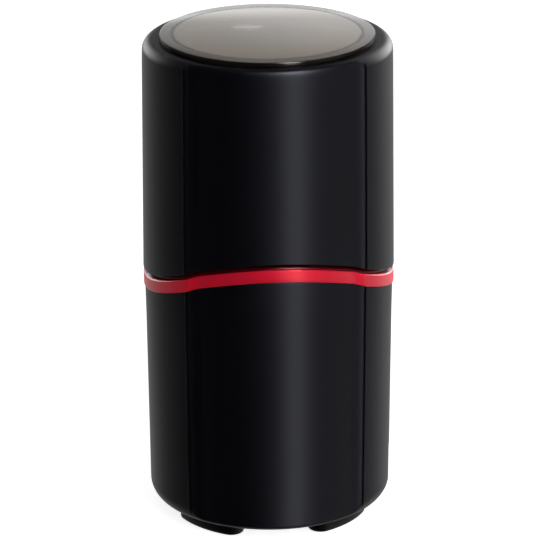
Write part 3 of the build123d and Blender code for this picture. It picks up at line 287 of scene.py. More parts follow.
@dataclass(frozen=True)
class Finish:
    """A material made from nodes; lengths in millimetres."""

    name: str
    colour: tuple[float, float, float]
    roughness: float
    drift: float = 0.12
    roughness_drift: float = 0.08
    metallic: float = 0.0
    specular: float = 0.5
    grain: Grain = Grain.SPECKLE
    grain_size: float = 0.3
    relief: float = 0.004
    blotch: float = 9.0
    coat: float = 0.0
    coat_roughness: float = 0.08
    anisotropy: float = 0.0
    tint: tuple[float, float, float] = (1.0, 1.0, 1.0)

    def material(self) -> bpy.types.Material:
        """Material of this finish, made once."""
        made = bpy.data.materials.get(f"{self.name}_finish")
        return made or self.make()

    def make(self) -> bpy.types.Material:
        """Build the node tree.

        Returns:
            The new material.
        """
        material = bpy.data.materials.new(f"{self.name}_finish")
        material.use_nodes = True
        material.diffuse_color = (*self.colour, 1.0)
        graph = Graph(material.node_tree)
        shader = graph.shader
        place = graph.node("ShaderNodeTexCoord").outputs["Object"]
        fine = self.pattern(graph, place)
        broad = graph.noise(place, 1.0 / (self.blotch * MM), detail=3.0, rough=0.6)
        mixed = graph.math("ADD", graph.math("MULTIPLY", fine, FINE_SHARE),
                           graph.math("MULTIPLY", broad, 1 - FINE_SHARE))
        ramp = graph.node("ShaderNodeValToRGB")
        for element, position, change in zip(ramp.color_ramp.elements, TONE_ENDS, (-self.drift, self.drift)):
            element.position = position
            element.color = (*[min(1.0, part * (1 + change)) for part in self.colour], 1.0)
        graph.join(mixed, ramp.inputs["Fac"])
        graph.join(ramp.outputs["Color"], shader.inputs["Base Color"])
        sheen = graph.spread(mixed, self.roughness - self.roughness_drift, self.roughness + self.roughness_drift)
        graph.join(sheen, shader.inputs["Roughness"])
        graph.join(graph.bump(fine, self.relief * MM).outputs["Normal"], shader.inputs["Normal"])
        for socket, value in (("Metallic", self.metallic), ("Specular IOR Level", self.specular),
                              ("Specular Tint", (*self.tint, 1.0)), ("Anisotropic", self.anisotropy),
                              ("Coat Weight", self.coat), ("Coat Roughness", self.coat_roughness)):
            shader.inputs[socket].default_value = value
        self.extra(graph)
        return material

    def pattern(self, graph: "Graph", place: bpy.types.NodeSocket) -> bpy.types.NodeSocket:
        """Height of the fine relief, from 0 to 1.

        Args:
            graph: the node tree being built.
            place: the point on the piece.

        Returns:
            The socket that gives the height.
        """
        scale = 1.0 / (self.grain_size * MM)
        if self.grain is Grain.SPECKLE:
            return graph.noise(place, scale, detail=4.0, rough=0.55)
        if self.grain is Grain.STREAKS:
            return graph.noise(graph.scaled(place, STREAK), scale, detail=3.0, rough=0.6)
        if self.grain is Grain.LAYERS:
            return graph.waves(place, scale)
        polar = graph.polar(place)
        if self.grain is Grain.SPUN:
            spun = graph.scaled(polar, (1.0, SPUN_TURN * self.grain_size, 1.0))
            return graph.noise(spun, scale, detail=3.0, rough=0.6)
        return graph.weave(polar, scale)

    def extra(self, graph: "Graph") -> None:
        """Nothing more for a plain finish."""


class Graph:
    """Short ways to add nodes to the tree of a material or of the world."""

    def __init__(self, tree: bpy.types.NodeTree) -> None:
        """Find the shader of a new tree, where it has one."""
        self.tree = tree
        self.shader = next((node for node in tree.nodes if node.type == "BSDF_PRINCIPLED"), None)

    def node(self, kind: str) -> bpy.types.Node:
        """Add a node of a kind."""
        return self.tree.nodes.new(kind)

    def join(self, start: bpy.types.NodeSocket, stop: bpy.types.NodeSocket) -> None:
        """Link two sockets."""
        self.tree.links.new(start, stop)

    def feed(self, value: "bpy.types.NodeSocket | float | tuple[float, ...]", socket: bpy.types.NodeSocket) -> None:
        """Give a socket a link, a number or a vector.

        Args:
            value: another node's output, or what the socket is set to.
            socket: the input that takes it.
        """
        if isinstance(value, bpy.types.NodeSocket):
            self.join(value, socket)
        else:
            socket.default_value = value

    def math(self, way: str, first: "bpy.types.NodeSocket | float",
             second: "bpy.types.NodeSocket | float" = 0.0) -> bpy.types.NodeSocket:
        """Work out one sum.

        Args:
            way: the operation's name.
            first: first term.
            second: second term.

        Returns:
            The result.
        """
        node = self.node("ShaderNodeMath")
        node.operation = way
        self.feed(first, node.inputs[0])
        self.feed(second, node.inputs[1])
        return node.outputs["Value"]

    def noise(self, place: bpy.types.NodeSocket, scale: float, detail: float,
              rough: float) -> bpy.types.NodeSocket:
        """Cloudy noise.

        Args:
            place: where it is read.
            scale: grains per metre.
            detail: how many finer layers it has.
            rough: how strong the finer layers are.

        Returns:
            A height from 0 to 1.
        """
        node = self.node("ShaderNodeTexNoise")
        node.inputs["Scale"].default_value = scale
        node.inputs["Detail"].default_value = detail
        node.inputs["Roughness"].default_value = rough
        self.join(place, node.inputs["Vector"])
        return node.outputs["Fac"]

    def scaled(self, place: bpy.types.NodeSocket,
               by: "bpy.types.NodeSocket | tuple[float, ...]") -> bpy.types.NodeSocket:
        """Multiply a place or a colour, part by part.

        Args:
            place: the place or colour.
            by: factor for each part.

        Returns:
            The product.
        """
        node = self.node("ShaderNodeVectorMath")
        node.operation = "MULTIPLY"
        self.join(place, node.inputs[0])
        self.feed(by, node.inputs[1])
        return node.outputs["Vector"]

    def split(self, place: bpy.types.NodeSocket) -> list[bpy.types.NodeSocket]:
        """Take a place apart.

        Args:
            place: the place.

        Returns:
            Its three parts.
        """
        node = self.node("ShaderNodeSeparateXYZ")
        self.join(place, node.inputs[0])
        return list(node.outputs)

    def polar(self, place: bpy.types.NodeSocket) -> bpy.types.NodeSocket:
        """Place as distance from the axis, angle and height.

        Args:
            place: the place.

        Returns:
            The new place.
        """
        x, y, z = self.split(place)
        across = self.math("SQRT", self.math("ADD", self.math("MULTIPLY", x, x), self.math("MULTIPLY", y, y)))
        whole = self.node("ShaderNodeCombineXYZ")
        for socket, part in zip(whole.inputs, (across, self.math("ARCTAN2", y, x), z)):
            self.join(part, socket)
        return whole.outputs[0]

    def waves(self, place: bpy.types.NodeSocket, scale: float) -> bpy.types.NodeSocket:
        """Height, from 0 to 1, of even ridges one over another, as between stamped sheets."""
        turn = self.math("MULTIPLY", self.split(place)[2], scale * 2 * math.pi)
        return self.spread(self.math("SINE", turn), 0.0, 1.0, floor=-1.0)

    def weave(self, polar: bpy.types.NodeSocket, scale: float) -> bpy.types.NodeSocket:
        """Round strands that run around the axis, as in a winding.

        Args:
            polar: distance, angle and height.
            scale: strands per metre.

        Returns:
            A height from 0 to 1.
        """
        distance, _, height = self.split(polar)
        strands = [self.math("ABSOLUTE", self.math("SINE", self.math("MULTIPLY", part, scale * math.pi)))
                   for part in (distance, height)]
        return self.math("MULTIPLY", *strands)

    def bump(self, height: bpy.types.NodeSocket, distance: float) -> bpy.types.Node:
        """Turn a height into relief.

        Args:
            height: the height.
            distance: how far a height of 1 stands out, in metres.

        Returns:
            The relief's node.
        """
        node = self.node("ShaderNodeBump")
        node.inputs["Strength"].default_value = 1.0
        node.inputs["Distance"].default_value = distance
        self.join(height, node.inputs["Height"])
        return node

    def spread(self, value: bpy.types.NodeSocket, low: float, high: float,
               floor: float = 0.0) -> bpy.types.NodeSocket:
        """Map a height to a range.

        Args:
            value: the height.
            low: result at the floor.
            high: result at 1.
            floor: lowest height.

        Returns:
            The mapped value.
        """
        node = self.node("ShaderNodeMapRange")
        node.inputs["From Min"].default_value = floor
        node.inputs["To Min"].default_value = low
        node.inputs["To Max"].default_value = high
        self.join(value, node.inputs["Value"])
        return node.outputs["Result"]


@dataclass(frozen=True)
class Smoked(Finish):
    """Clear plastic with a brown-grey tint; radii in millimetres, tilt in degrees."""

    cloudiness: tuple[tuple[float, float], ...] = ((0.0, 0.9), (32.8, 0.9), (33.2, 0.62), (34.1, 0.62),
                                                   (34.5, 0.82), (40.0, 0.82))
    # body scales the base colour by distance from the axis: painted shade in the middle, at the spigot ring and,
    # darkest, past it, with a painted highlight ring near the lens edge, for light and dark seen through the disc
    body: tuple[tuple[float, float], ...] = ((0.0, 0.74), (19.4, 0.8), (20.6, 1.15), (21.6, 0.88), (23.0, 1.06),
                                             (27.0, 1.0), (32.6, 1.0), (33.2, 0.3), (34.1, 0.3), (34.6, 0.16),
                                             (40.0, 0.16))
    dome_radius: float = 33.0
    dome_tilt: float = 7.5
    ior: float = 1.49

    def extra(self, graph: Graph) -> None:
        """Let light through by zones of distance from the axis, scale its colour by zones as painted light and shade,
        and dome its face gently.

        Args:
            graph: the node tree.
        """
        shader = graph.shader
        shader.inputs["IOR"].default_value = self.ior
        distance = graph.split(graph.polar(graph.node("ShaderNodeTexCoord").outputs["Object"]))[0]
        graph.join(self.zones(graph, distance, self.cloudiness), shader.inputs["Alpha"])
        plain = shader.inputs["Base Color"].links[0].from_socket
        # Base colour scaled by the body zones: painted light and shade
        graph.join(graph.scaled(plain, self.zones(graph, distance, self.body)), shader.inputs["Base Color"])
        rise = math.tan(math.radians(self.dome_tilt)) / (2 * self.dome_radius * MM)
        height = graph.math("MULTIPLY", graph.math("MULTIPLY", distance, distance), -rise)
        fine = shader.inputs["Normal"].links[0].from_node
        graph.join(graph.bump(height, 1.0).outputs["Normal"], fine.inputs["Normal"])

    def zones(self, graph: Graph, distance: bpy.types.NodeSocket,
              steps: tuple[tuple[float, float], ...]) -> bpy.types.NodeSocket:
        """Value that changes with the distance from the axis.

        Args:
            graph: the node tree.
            distance: distance from the axis, in metres.
            steps: radius in millimetres and value of each stop.

        Returns:
            The value at each point.
        """
        node = graph.node("ShaderNodeValToRGB")
        ramp = node.color_ramp
        while len(ramp.elements) < len(steps):
            ramp.elements.new(0.5)
        reach = steps[-1][0]
        for element, (radius, value) in zip(ramp.elements, steps):
            element.position = radius / reach
            element.color = (value, value, value, 1.0)
        graph.join(graph.math("DIVIDE", distance, reach * MM), node.inputs["Fac"])
        return node.outputs["Color"]


BLACK_SATIN = Finish("black_satin", (0.0004, 0.0004, 0.0006), 0.38, 0.25, 0.03, specular=0.019,
                     grain_size=0.16, relief=0.0035, blotch=22.0, tint=(0.86, 0.88, 1.0))
BLACK_INNER = Finish("black_inner", (0.012, 0.012, 0.013), 0.52, 0.2, 0.06, specular=0.35, grain_size=0.35,
                     relief=0.006, blotch=12.0)
RED_GLOSS = Finish("red_gloss", (0.38, 0.0021, 0.015), 0.40, 0.04, 0.03, specular=0.085, grain_size=0.5,
                   relief=0.0008)
# Darker red for the channel, bead and ledge behind the band's face: painted shade under the lid's lip
RED_PAINTED_SHADE = Finish("red_painted_shade", (0.045, 0.0004, 0.0020), 0.34, 0.08, 0.04, specular=0.035, grain_size=0.5,
                  relief=0.0008)
SMOKED = Smoked("smoked_clear", (0.092, 0.056, 0.014), 0.10, 0.15, 0.02, specular=0.5, grain_size=6.0,
                relief=0.010, blotch=16.0, coat=0.15, coat_roughness=0.04, tint=(1.0, 0.86, 0.75))
# Near-black, weakly glossy finish for the window's rim: painted shade standing in for the dark that the rim reflects
SMOKED_RIM_PAINTED_SHADE = Finish("smoked_rim_painted_shade", (0.006, 0.004, 0.003), 0.18, 0.2, 0.03, specular=0.025, grain_size=2.0,
                     relief=0.002)
LINER_GREY = Finish("liner_grey", (0.16, 0.15, 0.14), 0.34, 0.1, 0.06, grain_size=0.5, relief=0.004)
BOWL_STEEL = Finish("bowl_steel", (0.52, 0.52, 0.53), 0.27, 0.08, 0.07, 1.0, grain=Grain.SPUN, grain_size=0.12,
                    relief=0.002, anisotropy=0.5)
BLADE_STEEL = Finish("blade_steel", (0.56, 0.57, 0.59), 0.22, 0.1, 0.08, 1.0, grain=Grain.STREAKS, grain_size=0.1,
                     relief=0.002)
MACHINED = Finish("machined_steel", (0.50, 0.50, 0.52), 0.26, 0.12, 0.08, 1.0, grain=Grain.SPUN, grain_size=0.15,
                  relief=0.003)
LAMINATION = Finish("stamped_sheets", (0.10, 0.10, 0.11), 0.42, 0.2, 0.08, 0.6, grain=Grain.LAYERS, grain_size=0.5,
                    relief=0.06)
COPPER_WIRE = Finish("enamelled_wire", (0.55, 0.17, 0.06), 0.28, 0.15, 0.08, 0.8, grain=Grain.WOUND,
                     grain_size=0.45, relief=0.12)
COPPER_BARS = Finish("turned_copper", (0.66, 0.30, 0.17), 0.25, 0.12, 0.08, 1.0, grain=Grain.SPUN, grain_size=0.12,
                     relief=0.004)
BRONZE = Finish("sintered_bronze", (0.40, 0.27, 0.12), 0.45, 0.18, 0.1, 0.9, grain_size=0.2, relief=0.012)
CARBON = Finish("pressed_carbon", (0.025, 0.025, 0.027), 0.6, 0.3, 0.08, grain_size=0.18, relief=0.012)
BLACK_RUBBER = Finish("black_rubber", (0.0008, 0.0008, 0.0012), 0.42, 0.25, 0.05, specular=0.03, grain_size=0.25,
                      relief=0.010)
GREY_RUBBER = Finish("grey_rubber", (0.09, 0.09, 0.095), 0.6, 0.15, 0.07, grain_size=0.25, relief=0.008)
CAST_ZINC = Finish("cast_zinc", (0.50, 0.51, 0.53), 0.42, 0.12, 0.1, 0.9, grain_size=0.6, relief=0.02)
WHITE_PLASTIC = Finish("white_plastic", (0.70, 0.68, 0.62), 0.36, 0.05, 0.06, grain_size=0.4, relief=0.004)
SWITCH_PLASTIC = Finish("switch_plastic", (0.02, 0.024, 0.035), 0.4, 0.2, 0.07, grain_size=0.3, relief=0.006)

NODE_FINISHES = {
    LINER_GREY: ("lid_liner",),
    GREY_RUBBER: ("lid_gasket", "bowl_gasket"),
    BLACK_INNER: ("bowl_carrier", "base_cover", "blade_hub", "cord_clamp"),
    BLACK_RUBBER: ("spindle_seal", "motor_mounts", "cord_gland"),
    MACHINED: ("blade_nut", "motor_shaft", "motor_screws", "rod_clip", "switch_screws",
               "switch_lever", "clamp_screws"),
    LAMINATION: ("armature_core", "stator_core"),
    COPPER_WIRE: ("armature_windings", "stator_coils"),
    COPPER_BARS: ("commutator",),
    BRONZE: ("upper_bushing", "lower_bushing"),
    CARBON: ("carbon_brushes",),
    CAST_ZINC: ("upper_bracket", "lower_bracket"),
    WHITE_PLASTIC: ("cooling_fan", "brush_boxes", "push_rod", "switch_button", "terminal_block"),
    SWITCH_PLASTIC: ("switch_case",),
}


# --- Drum -------------------------------------------------------------------------
@dataclass(frozen=True)
class Drum:
    """Plan of the drum: round, with a flatter panel front and rear; millimetres."""

    inset: float = 1.7
    panel_angle: float = 37.3
    blend: float = 12.5
    nose: float = 0.5
    panel_steps: int = 22
    blend_steps: int = 12
    nose_steps: int = 5
    side_steps: int = 40
    groove_depth: float = 0.55
    groove_width: float = 1.15
    groove_wall: float = 0.09
    groove_lip: float = 0.02
    groove_foot: float = 0.1
    groove_section: tuple[float, ...] = (0.0, 0.06, 0.94, 1.0, 1.0, 1.0, 0.94, 0.06)

    def plan(self, outside: float, inward: float = 0.0, grooved: bool = False) -> tuple[np.ndarray, np.ndarray]:
        """Angle and radius of each column, once around.

        Args:
            outside: radius of the drum at this height.
            inward: how far inside the outer face the plan lies.
            grooved: whether the fine groove along each crease is cut in.

        Returns:
            Angles in radians from the front, and radii in millimetres.
        """
        rim = outside - inward
        blend = self.blend + inward
        panel = rim - self.inset
        reach = panel + blend
        inner = rim - self.nose
        span = blend + self.nose
        end = math.radians(self.panel_angle)
        ridge = end + math.acos((reach ** 2 + inner ** 2 - span ** 2) / (2 * reach * inner))
        hollow = np.array([reach * math.cos(end), reach * math.sin(end)])
        centre = np.array([inner * math.cos(ridge), inner * math.sin(ridge)])
        touch = hollow + (centre - hollow) * blend / span
        fold = math.atan2(touch[1], touch[0])
        flat = np.linspace(0, end, self.panel_steps, endpoint=False)
        bend = np.linspace(end, fold, self.blend_steps, endpoint=False)
        nose = np.linspace(fold, ridge, self.nose_steps, endpoint=False)
        shut = ridge + self.groove_width / rim
        groove = ridge + self.across() / rim
        side = np.linspace(shut, QUARTER, self.side_steps, endpoint=False)
        off = bend - end
        lean = nose - ridge
        radii = np.concatenate([
            np.full(len(flat), panel),
            reach * np.cos(off) - np.sqrt(np.maximum(blend ** 2 - (reach * np.sin(off)) ** 2, 0)),
            inner * np.cos(lean) + np.sqrt(np.maximum(self.nose ** 2 - (inner * np.sin(lean)) ** 2, 0)),
            rim - self.cut() * grooved,
            np.full(len(side) + 1, rim),
        ])
        turn = np.concatenate([flat, bend, nose, groove, side, [QUARTER]])
        quarter = len(turn) - 1
        angles = np.concatenate([turn[:quarter], math.pi - turn[:0:-1], math.pi + turn[:quarter],
                                 2 * math.pi - turn[:0:-1]])
        around_it = np.concatenate([radii[:quarter], radii[:0:-1], radii[:quarter], radii[:0:-1]])
        return angles, around_it

    def edge(self, outside: float, fillet: float) -> tuple[np.ndarray, np.ndarray, np.ndarray]:
        """Columns of the wall, and how far round the edge's fillet each one meets it, in radians."""
        angles, radii = self.plan(outside, grooved=True)
        return angles, radii, np.arccos(np.clip((fillet - (outside - radii)) / fillet, -1, 1))

    def across(self) -> np.ndarray:
        """Place of each column across the groove.

        Returns:
            Distances from the groove's inner lip.
        """
        wall, width, foot = self.groove_wall, self.groove_width, self.groove_foot
        return np.array([0.0, self.groove_lip, wall, wall + foot, width / 2, width - wall - foot, width - wall,
                         width - self.groove_lip])

    def cut(self) -> np.ndarray:
        """Depth of the groove at each column across it."""
        return self.groove_depth * np.array(self.groove_section)


@dataclass(frozen=True)
class Arch:
    """The waved split between lid and body: an arch seen from the front; millimetres."""

    radius: float = 80.0

    def height(self, crest: float, angles: "np.ndarray | float", radii: "np.ndarray | float") -> np.ndarray:
        """Height of the arch over each column, or over one place, in millimetres."""
        across = radii * np.sin(angles)
        return crest - self.radius + np.sqrt(self.radius ** 2 - across ** 2)


DRUM = Drum()
ARCH = Arch()
EDGE_STEPS = 6    # spans of a small rounded edge


def ring_of(angles: np.ndarray, radii: np.ndarray, heights: "np.ndarray | float") -> np.ndarray:
    """Ring of points in metres from angles, radii and heights in millimetres."""
    level = np.broadcast_to(np.asarray(heights, float), angles.shape)
    return np.stack([radii * np.sin(angles), -radii * np.cos(angles), level], 1) * MM


def lip(angles: np.ndarray, near: np.ndarray, far: np.ndarray, crest: float, upward: float,
        rounding: float) -> list[np.ndarray]:
    """Rounded edge of a wall along the arch, from its near face over to its far face.

    Args:
        angles: the columns' angles.
        near: radii of the face where the lip starts.
        far: radii of the face where it ends.
        crest: height of the arch in the middle.
        upward: 1 if the wall stands above its edge, -1 if it hangs below it.
        rounding: radius of both edges.

    Returns:
        The rings of the lip.
    """
    rings = []
    way = np.sign(far - near)
    for face, sense in ((near, 1), (far, -1)):
        for step in range(EDGE_STEPS + 1)[::sense]:
            turn = step / EDGE_STEPS * QUARTER
            radii = face + way * sense * (rounding * (1 - math.cos(turn)))
            rise = rounding * (1 - math.sin(turn))
            rings.append(ring_of(angles, radii, ARCH.height(crest, angles, radii) + upward * rise))
    return rings


# --- Lid --------------------------------------------------------------------------
@dataclass(frozen=True)
class LidShell:
    """Tall black shell of the lid; millimetres."""

    edge_radius: float = 44.99
    shoulder_radius: float = 44.4
    edge_height: float = 92.29
    crest: float = 106.15
    top: float = 176.6
    fillet: float = 4.0
    wall: float = 2.4
    opening: float = 33.65
    opening_rounding: float = 0.4
    opening_bevel: float = 0.3
    edge_rounding: float = 0.7
    crest_below: float = 3.6
    crest_reach: float = 1.0
    crest_share: float = 0.7
    crest_steps: int = 10
    steps: int = 12
    rim_rings: tuple[float, ...] = (38.6, 36.0)
    ceiling_ring: float = 37.5
    ceiling_rounding: float = 1.2
    ceiling_steps: int = 5
    boss_place: float = 38.6
    boss_radius: float = 2.4
    boss_bore: float = 1.23
    boss_height: float = 6.0
    boss_columns: int = 28
    boss_bite: float = 0.6
    boss_rounding: float = 0.2
    bore_rounding: float = 0.15
    boss_angles: tuple[float, ...] = (62.0, 118.0, 242.0, 298.0)

    def radius(self, height: float) -> float:
        """Outer radius of the tapered wall at a height."""
        share = (height - self.edge_height) / (self.top - self.fillet - self.edge_height)
        return self.edge_radius + (self.shoulder_radius - self.edge_radius) * share

    def slope(self) -> float:
        """Change of the outer radius per millimetre of height."""
        return (self.shoulder_radius - self.edge_radius) / (self.top - self.fillet - self.edge_height)

    def lower_edge(self, inward: float = 0.0) -> tuple[np.ndarray, np.ndarray]:
        """Plan along the lower edge, each column as wide as the wall is at its own height."""
        angles, radii = DRUM.plan(self.radius(self.crest), inward, grooved=not inward)
        return angles, radii + self.slope() * (ARCH.height(self.crest, angles, radii) - self.crest)

    def outer_wall(self) -> list[np.ndarray]:
        """Rings of the outer wall, from over the lip up to the shoulder's corner.

        Returns:
            The rings, bottom to top.
        """
        rings = []
        low_angles, low_radii = self.lower_edge()
        foot = ARCH.height(self.crest, low_angles, low_radii) + self.edge_rounding
        meet = DRUM.edge(self.shoulder_radius, self.fillet)[2]
        head = self.top - self.fillet + self.fillet * np.sin(meet) - self.crest_below
        for step in range(1, self.steps + 1):
            heights = foot + (head - foot) * (step / self.steps)
            middle = float(np.mean(heights))
            angles, radii = DRUM.plan(self.radius(middle), grooved=True)
            rings.append(ring_of(angles, radii + self.slope() * (heights - middle), heights))
        return rings

    def shoulder(self) -> list[np.ndarray]:
        """Rings of the rounded shoulder, from the corner over the panels to the flat top.

        Returns:
            The rings, bottom to top.
        """
        base = self.top - self.fillet
        centre = self.shoulder_radius - self.fillet
        angles, radii, meet = DRUM.edge(self.shoulder_radius, self.fillet)
        reach = np.minimum(self.crest_reach / self.fillet, (QUARTER - meet) * self.crest_share)
        touch = meet + reach
        run = self.fillet * (np.cos(meet) - np.cos(touch)) / np.sin(touch)
        start = np.stack([radii, base + self.fillet * np.sin(meet) - self.crest_below], 1)
        tip = np.stack([radii, base + self.fillet * np.sin(touch) - run * np.cos(touch)], 1)
        stop = np.stack([centre + self.fillet * np.cos(touch), base + self.fillet * np.sin(touch)], 1)
        rings = []
        for step in range(1, self.crest_steps + 1):
            point = bent(start, tip, stop, step / self.crest_steps)
            rings.append(ring_of(angles, point[:, 0], point[:, 1]))
        for step in range(1, self.steps + 1):
            turn = touch + (QUARTER - meet - reach) * step / self.steps
            rings.append(ring_of(angles, centre + self.fillet * np.cos(turn), base + self.fillet * np.sin(turn)))
        return rings

    def inside(self) -> list[np.ndarray]:
        """Rings of the top, the opening, the ceiling and the inner wall, down to the lip.

        Returns:
            The rings, from the shoulder to the lip.
        """
        ceiling = self.top - self.wall
        angles, _ = DRUM.plan(self.shoulder_radius)
        rings = []
        bend, bevel = self.opening_rounding, self.opening_bevel
        for radius, height in (*((radius, self.top) for radius in self.rim_rings),
                               (self.opening + bend, self.top), (self.opening + bend / 4, self.top - bend / 4),
                               (self.opening, self.top - bend), (self.opening, ceiling + bevel),
                               (self.opening + bevel, ceiling), (self.ceiling_ring, ceiling)):
            rings.append(ring_of(angles, np.full(len(angles), radius), height))
        bend = self.ceiling_rounding
        turns, radii = DRUM.plan(self.radius(ceiling), self.wall)
        for step in range(self.ceiling_steps + 1):
            turn = step / self.ceiling_steps * QUARTER
            rings.append(ring_of(turns, radii - bend + bend * math.sin(turn), ceiling - bend + bend * math.cos(turn)))
        low_turns, low_radii = self.lower_edge(self.wall)
        foot = ARCH.height(self.crest, low_turns, low_radii) + self.edge_rounding
        for step in range(1, self.ceiling_steps):
            share = step / self.ceiling_steps
            heights = (ceiling - bend) * (1 - share) + foot * share
            turns, radii = DRUM.plan(self.radius(float(np.mean(heights))), self.wall)
            rings.append(ring_of(turns, radii, heights))
        return rings

    def build(self) -> bpy.types.Object:
        """Make and dress the shell.

        Returns:
            The shell.
        """
        angles, outer = self.lower_edge()
        _, inner = self.lower_edge(self.wall)
        sheet = Sheet()
        edge = lip(angles, inner, outer, self.crest, 1.0, self.edge_rounding)
        sheet.band(edge + self.outer_wall() + self.shoulder() + self.inside(), loop=True)
        for angle in self.boss_angles:
            self.boss(sheet, math.radians(angle))
        return fitted(sheet.build("lid_outer_shell"), "lid", BLACK_SATIN, "black_plastic", "lid_shell")

    def boss(self, sheet: Sheet, turn: float) -> None:
        """Add one hollow screw boss under the ceiling.

        Args:
            sheet: the shell being gathered.
            turn: its angle from the front.
        """
        centre = around(self.boss_place, turn, 0.0)
        low = self.top - self.wall - self.boss_height
        high = self.top - self.wall + self.boss_bite
        outer, bore = self.boss_radius, self.boss_bore
        rings = []
        for radius, height in ((outer, high), (outer, low + self.boss_rounding), (outer - self.boss_rounding, low),
                               (bore + self.bore_rounding, low), (bore, low + self.bore_rounding), (bore, high)):
            ring = circle(radius, height, self.boss_columns)
            rings.append((ring + np.array([centre.x, centre.y, 0.0])) * MM)
        sheet.band(rings, loop=True)


@dataclass(frozen=True)
class LidWindow:
    """Smoked disc let into the lid, with its spigot; millimetres."""

    radius: float = 38.1
    low: float = 176.6
    high: float = 178.3
    spigot_radius: float = 33.5
    spigot_wall: float = 1.5
    spigot_low: float = 172.0
    lens_radius: float = 20.0
    lens_depth: float = 0.35
    lens_steps: int = 12
    face_rings: tuple[float, ...] = (12.0, 24.0)
    face_inset: float = 0.6
    roundings: tuple[tuple[int, float], ...] = ((4, 0.45), (5, 0.25), (6, 0.3), (7, 0.4), (8, 0.3), (9, 0.4))
    painted_shade_band: float = 0.9
    painted_shade_tilt: float = 0.9
    columns: int = 192

    def build(self) -> bpy.types.Object:
        """Make and dress the window.

        Returns:
            The window.
        """
        inner = self.spigot_radius - self.spigot_wall
        lens = [(0.0, self.low + self.lens_depth)]
        for step in range(1, self.lens_steps + 1):
            share = step / self.lens_steps
            sag = self.lens_depth * (1 + math.cos(math.pi * share)) / 2
            lens.append((self.lens_radius * share, self.low + sag))
        profile = [(0.0, self.high), *((radius, self.high) for radius in self.face_rings),
                   (inner - self.face_inset, self.high), (self.radius, self.high), (self.radius, self.low),
                   (self.spigot_radius, self.low), (self.spigot_radius, self.spigot_low),
                   (inner, self.spigot_low), (inner, self.low)]
        line = rounded(profile, dict(self.roundings)) + lens[::-1]
        sheet = Sheet()
        sheet.band([circle(max(r, HAIR) * MM, z * MM, self.columns) for r, z in line], loop=True)
        window = fitted(sheet.build("smoked_window", crease=50.0), "lid", SMOKED, "smoked_window", "lid_window")
        # The rim faces take the painted shade of the rim finish
        window.data.materials.append(SMOKED_RIM_PAINTED_SHADE.material())
        for face in window.data.polygons:
            reach = math.hypot(face.center.x, face.center.y)
            if reach > (self.radius - self.painted_shade_band) * MM and face.normal.z < self.painted_shade_tilt:
                face.material_index = 1
        return window


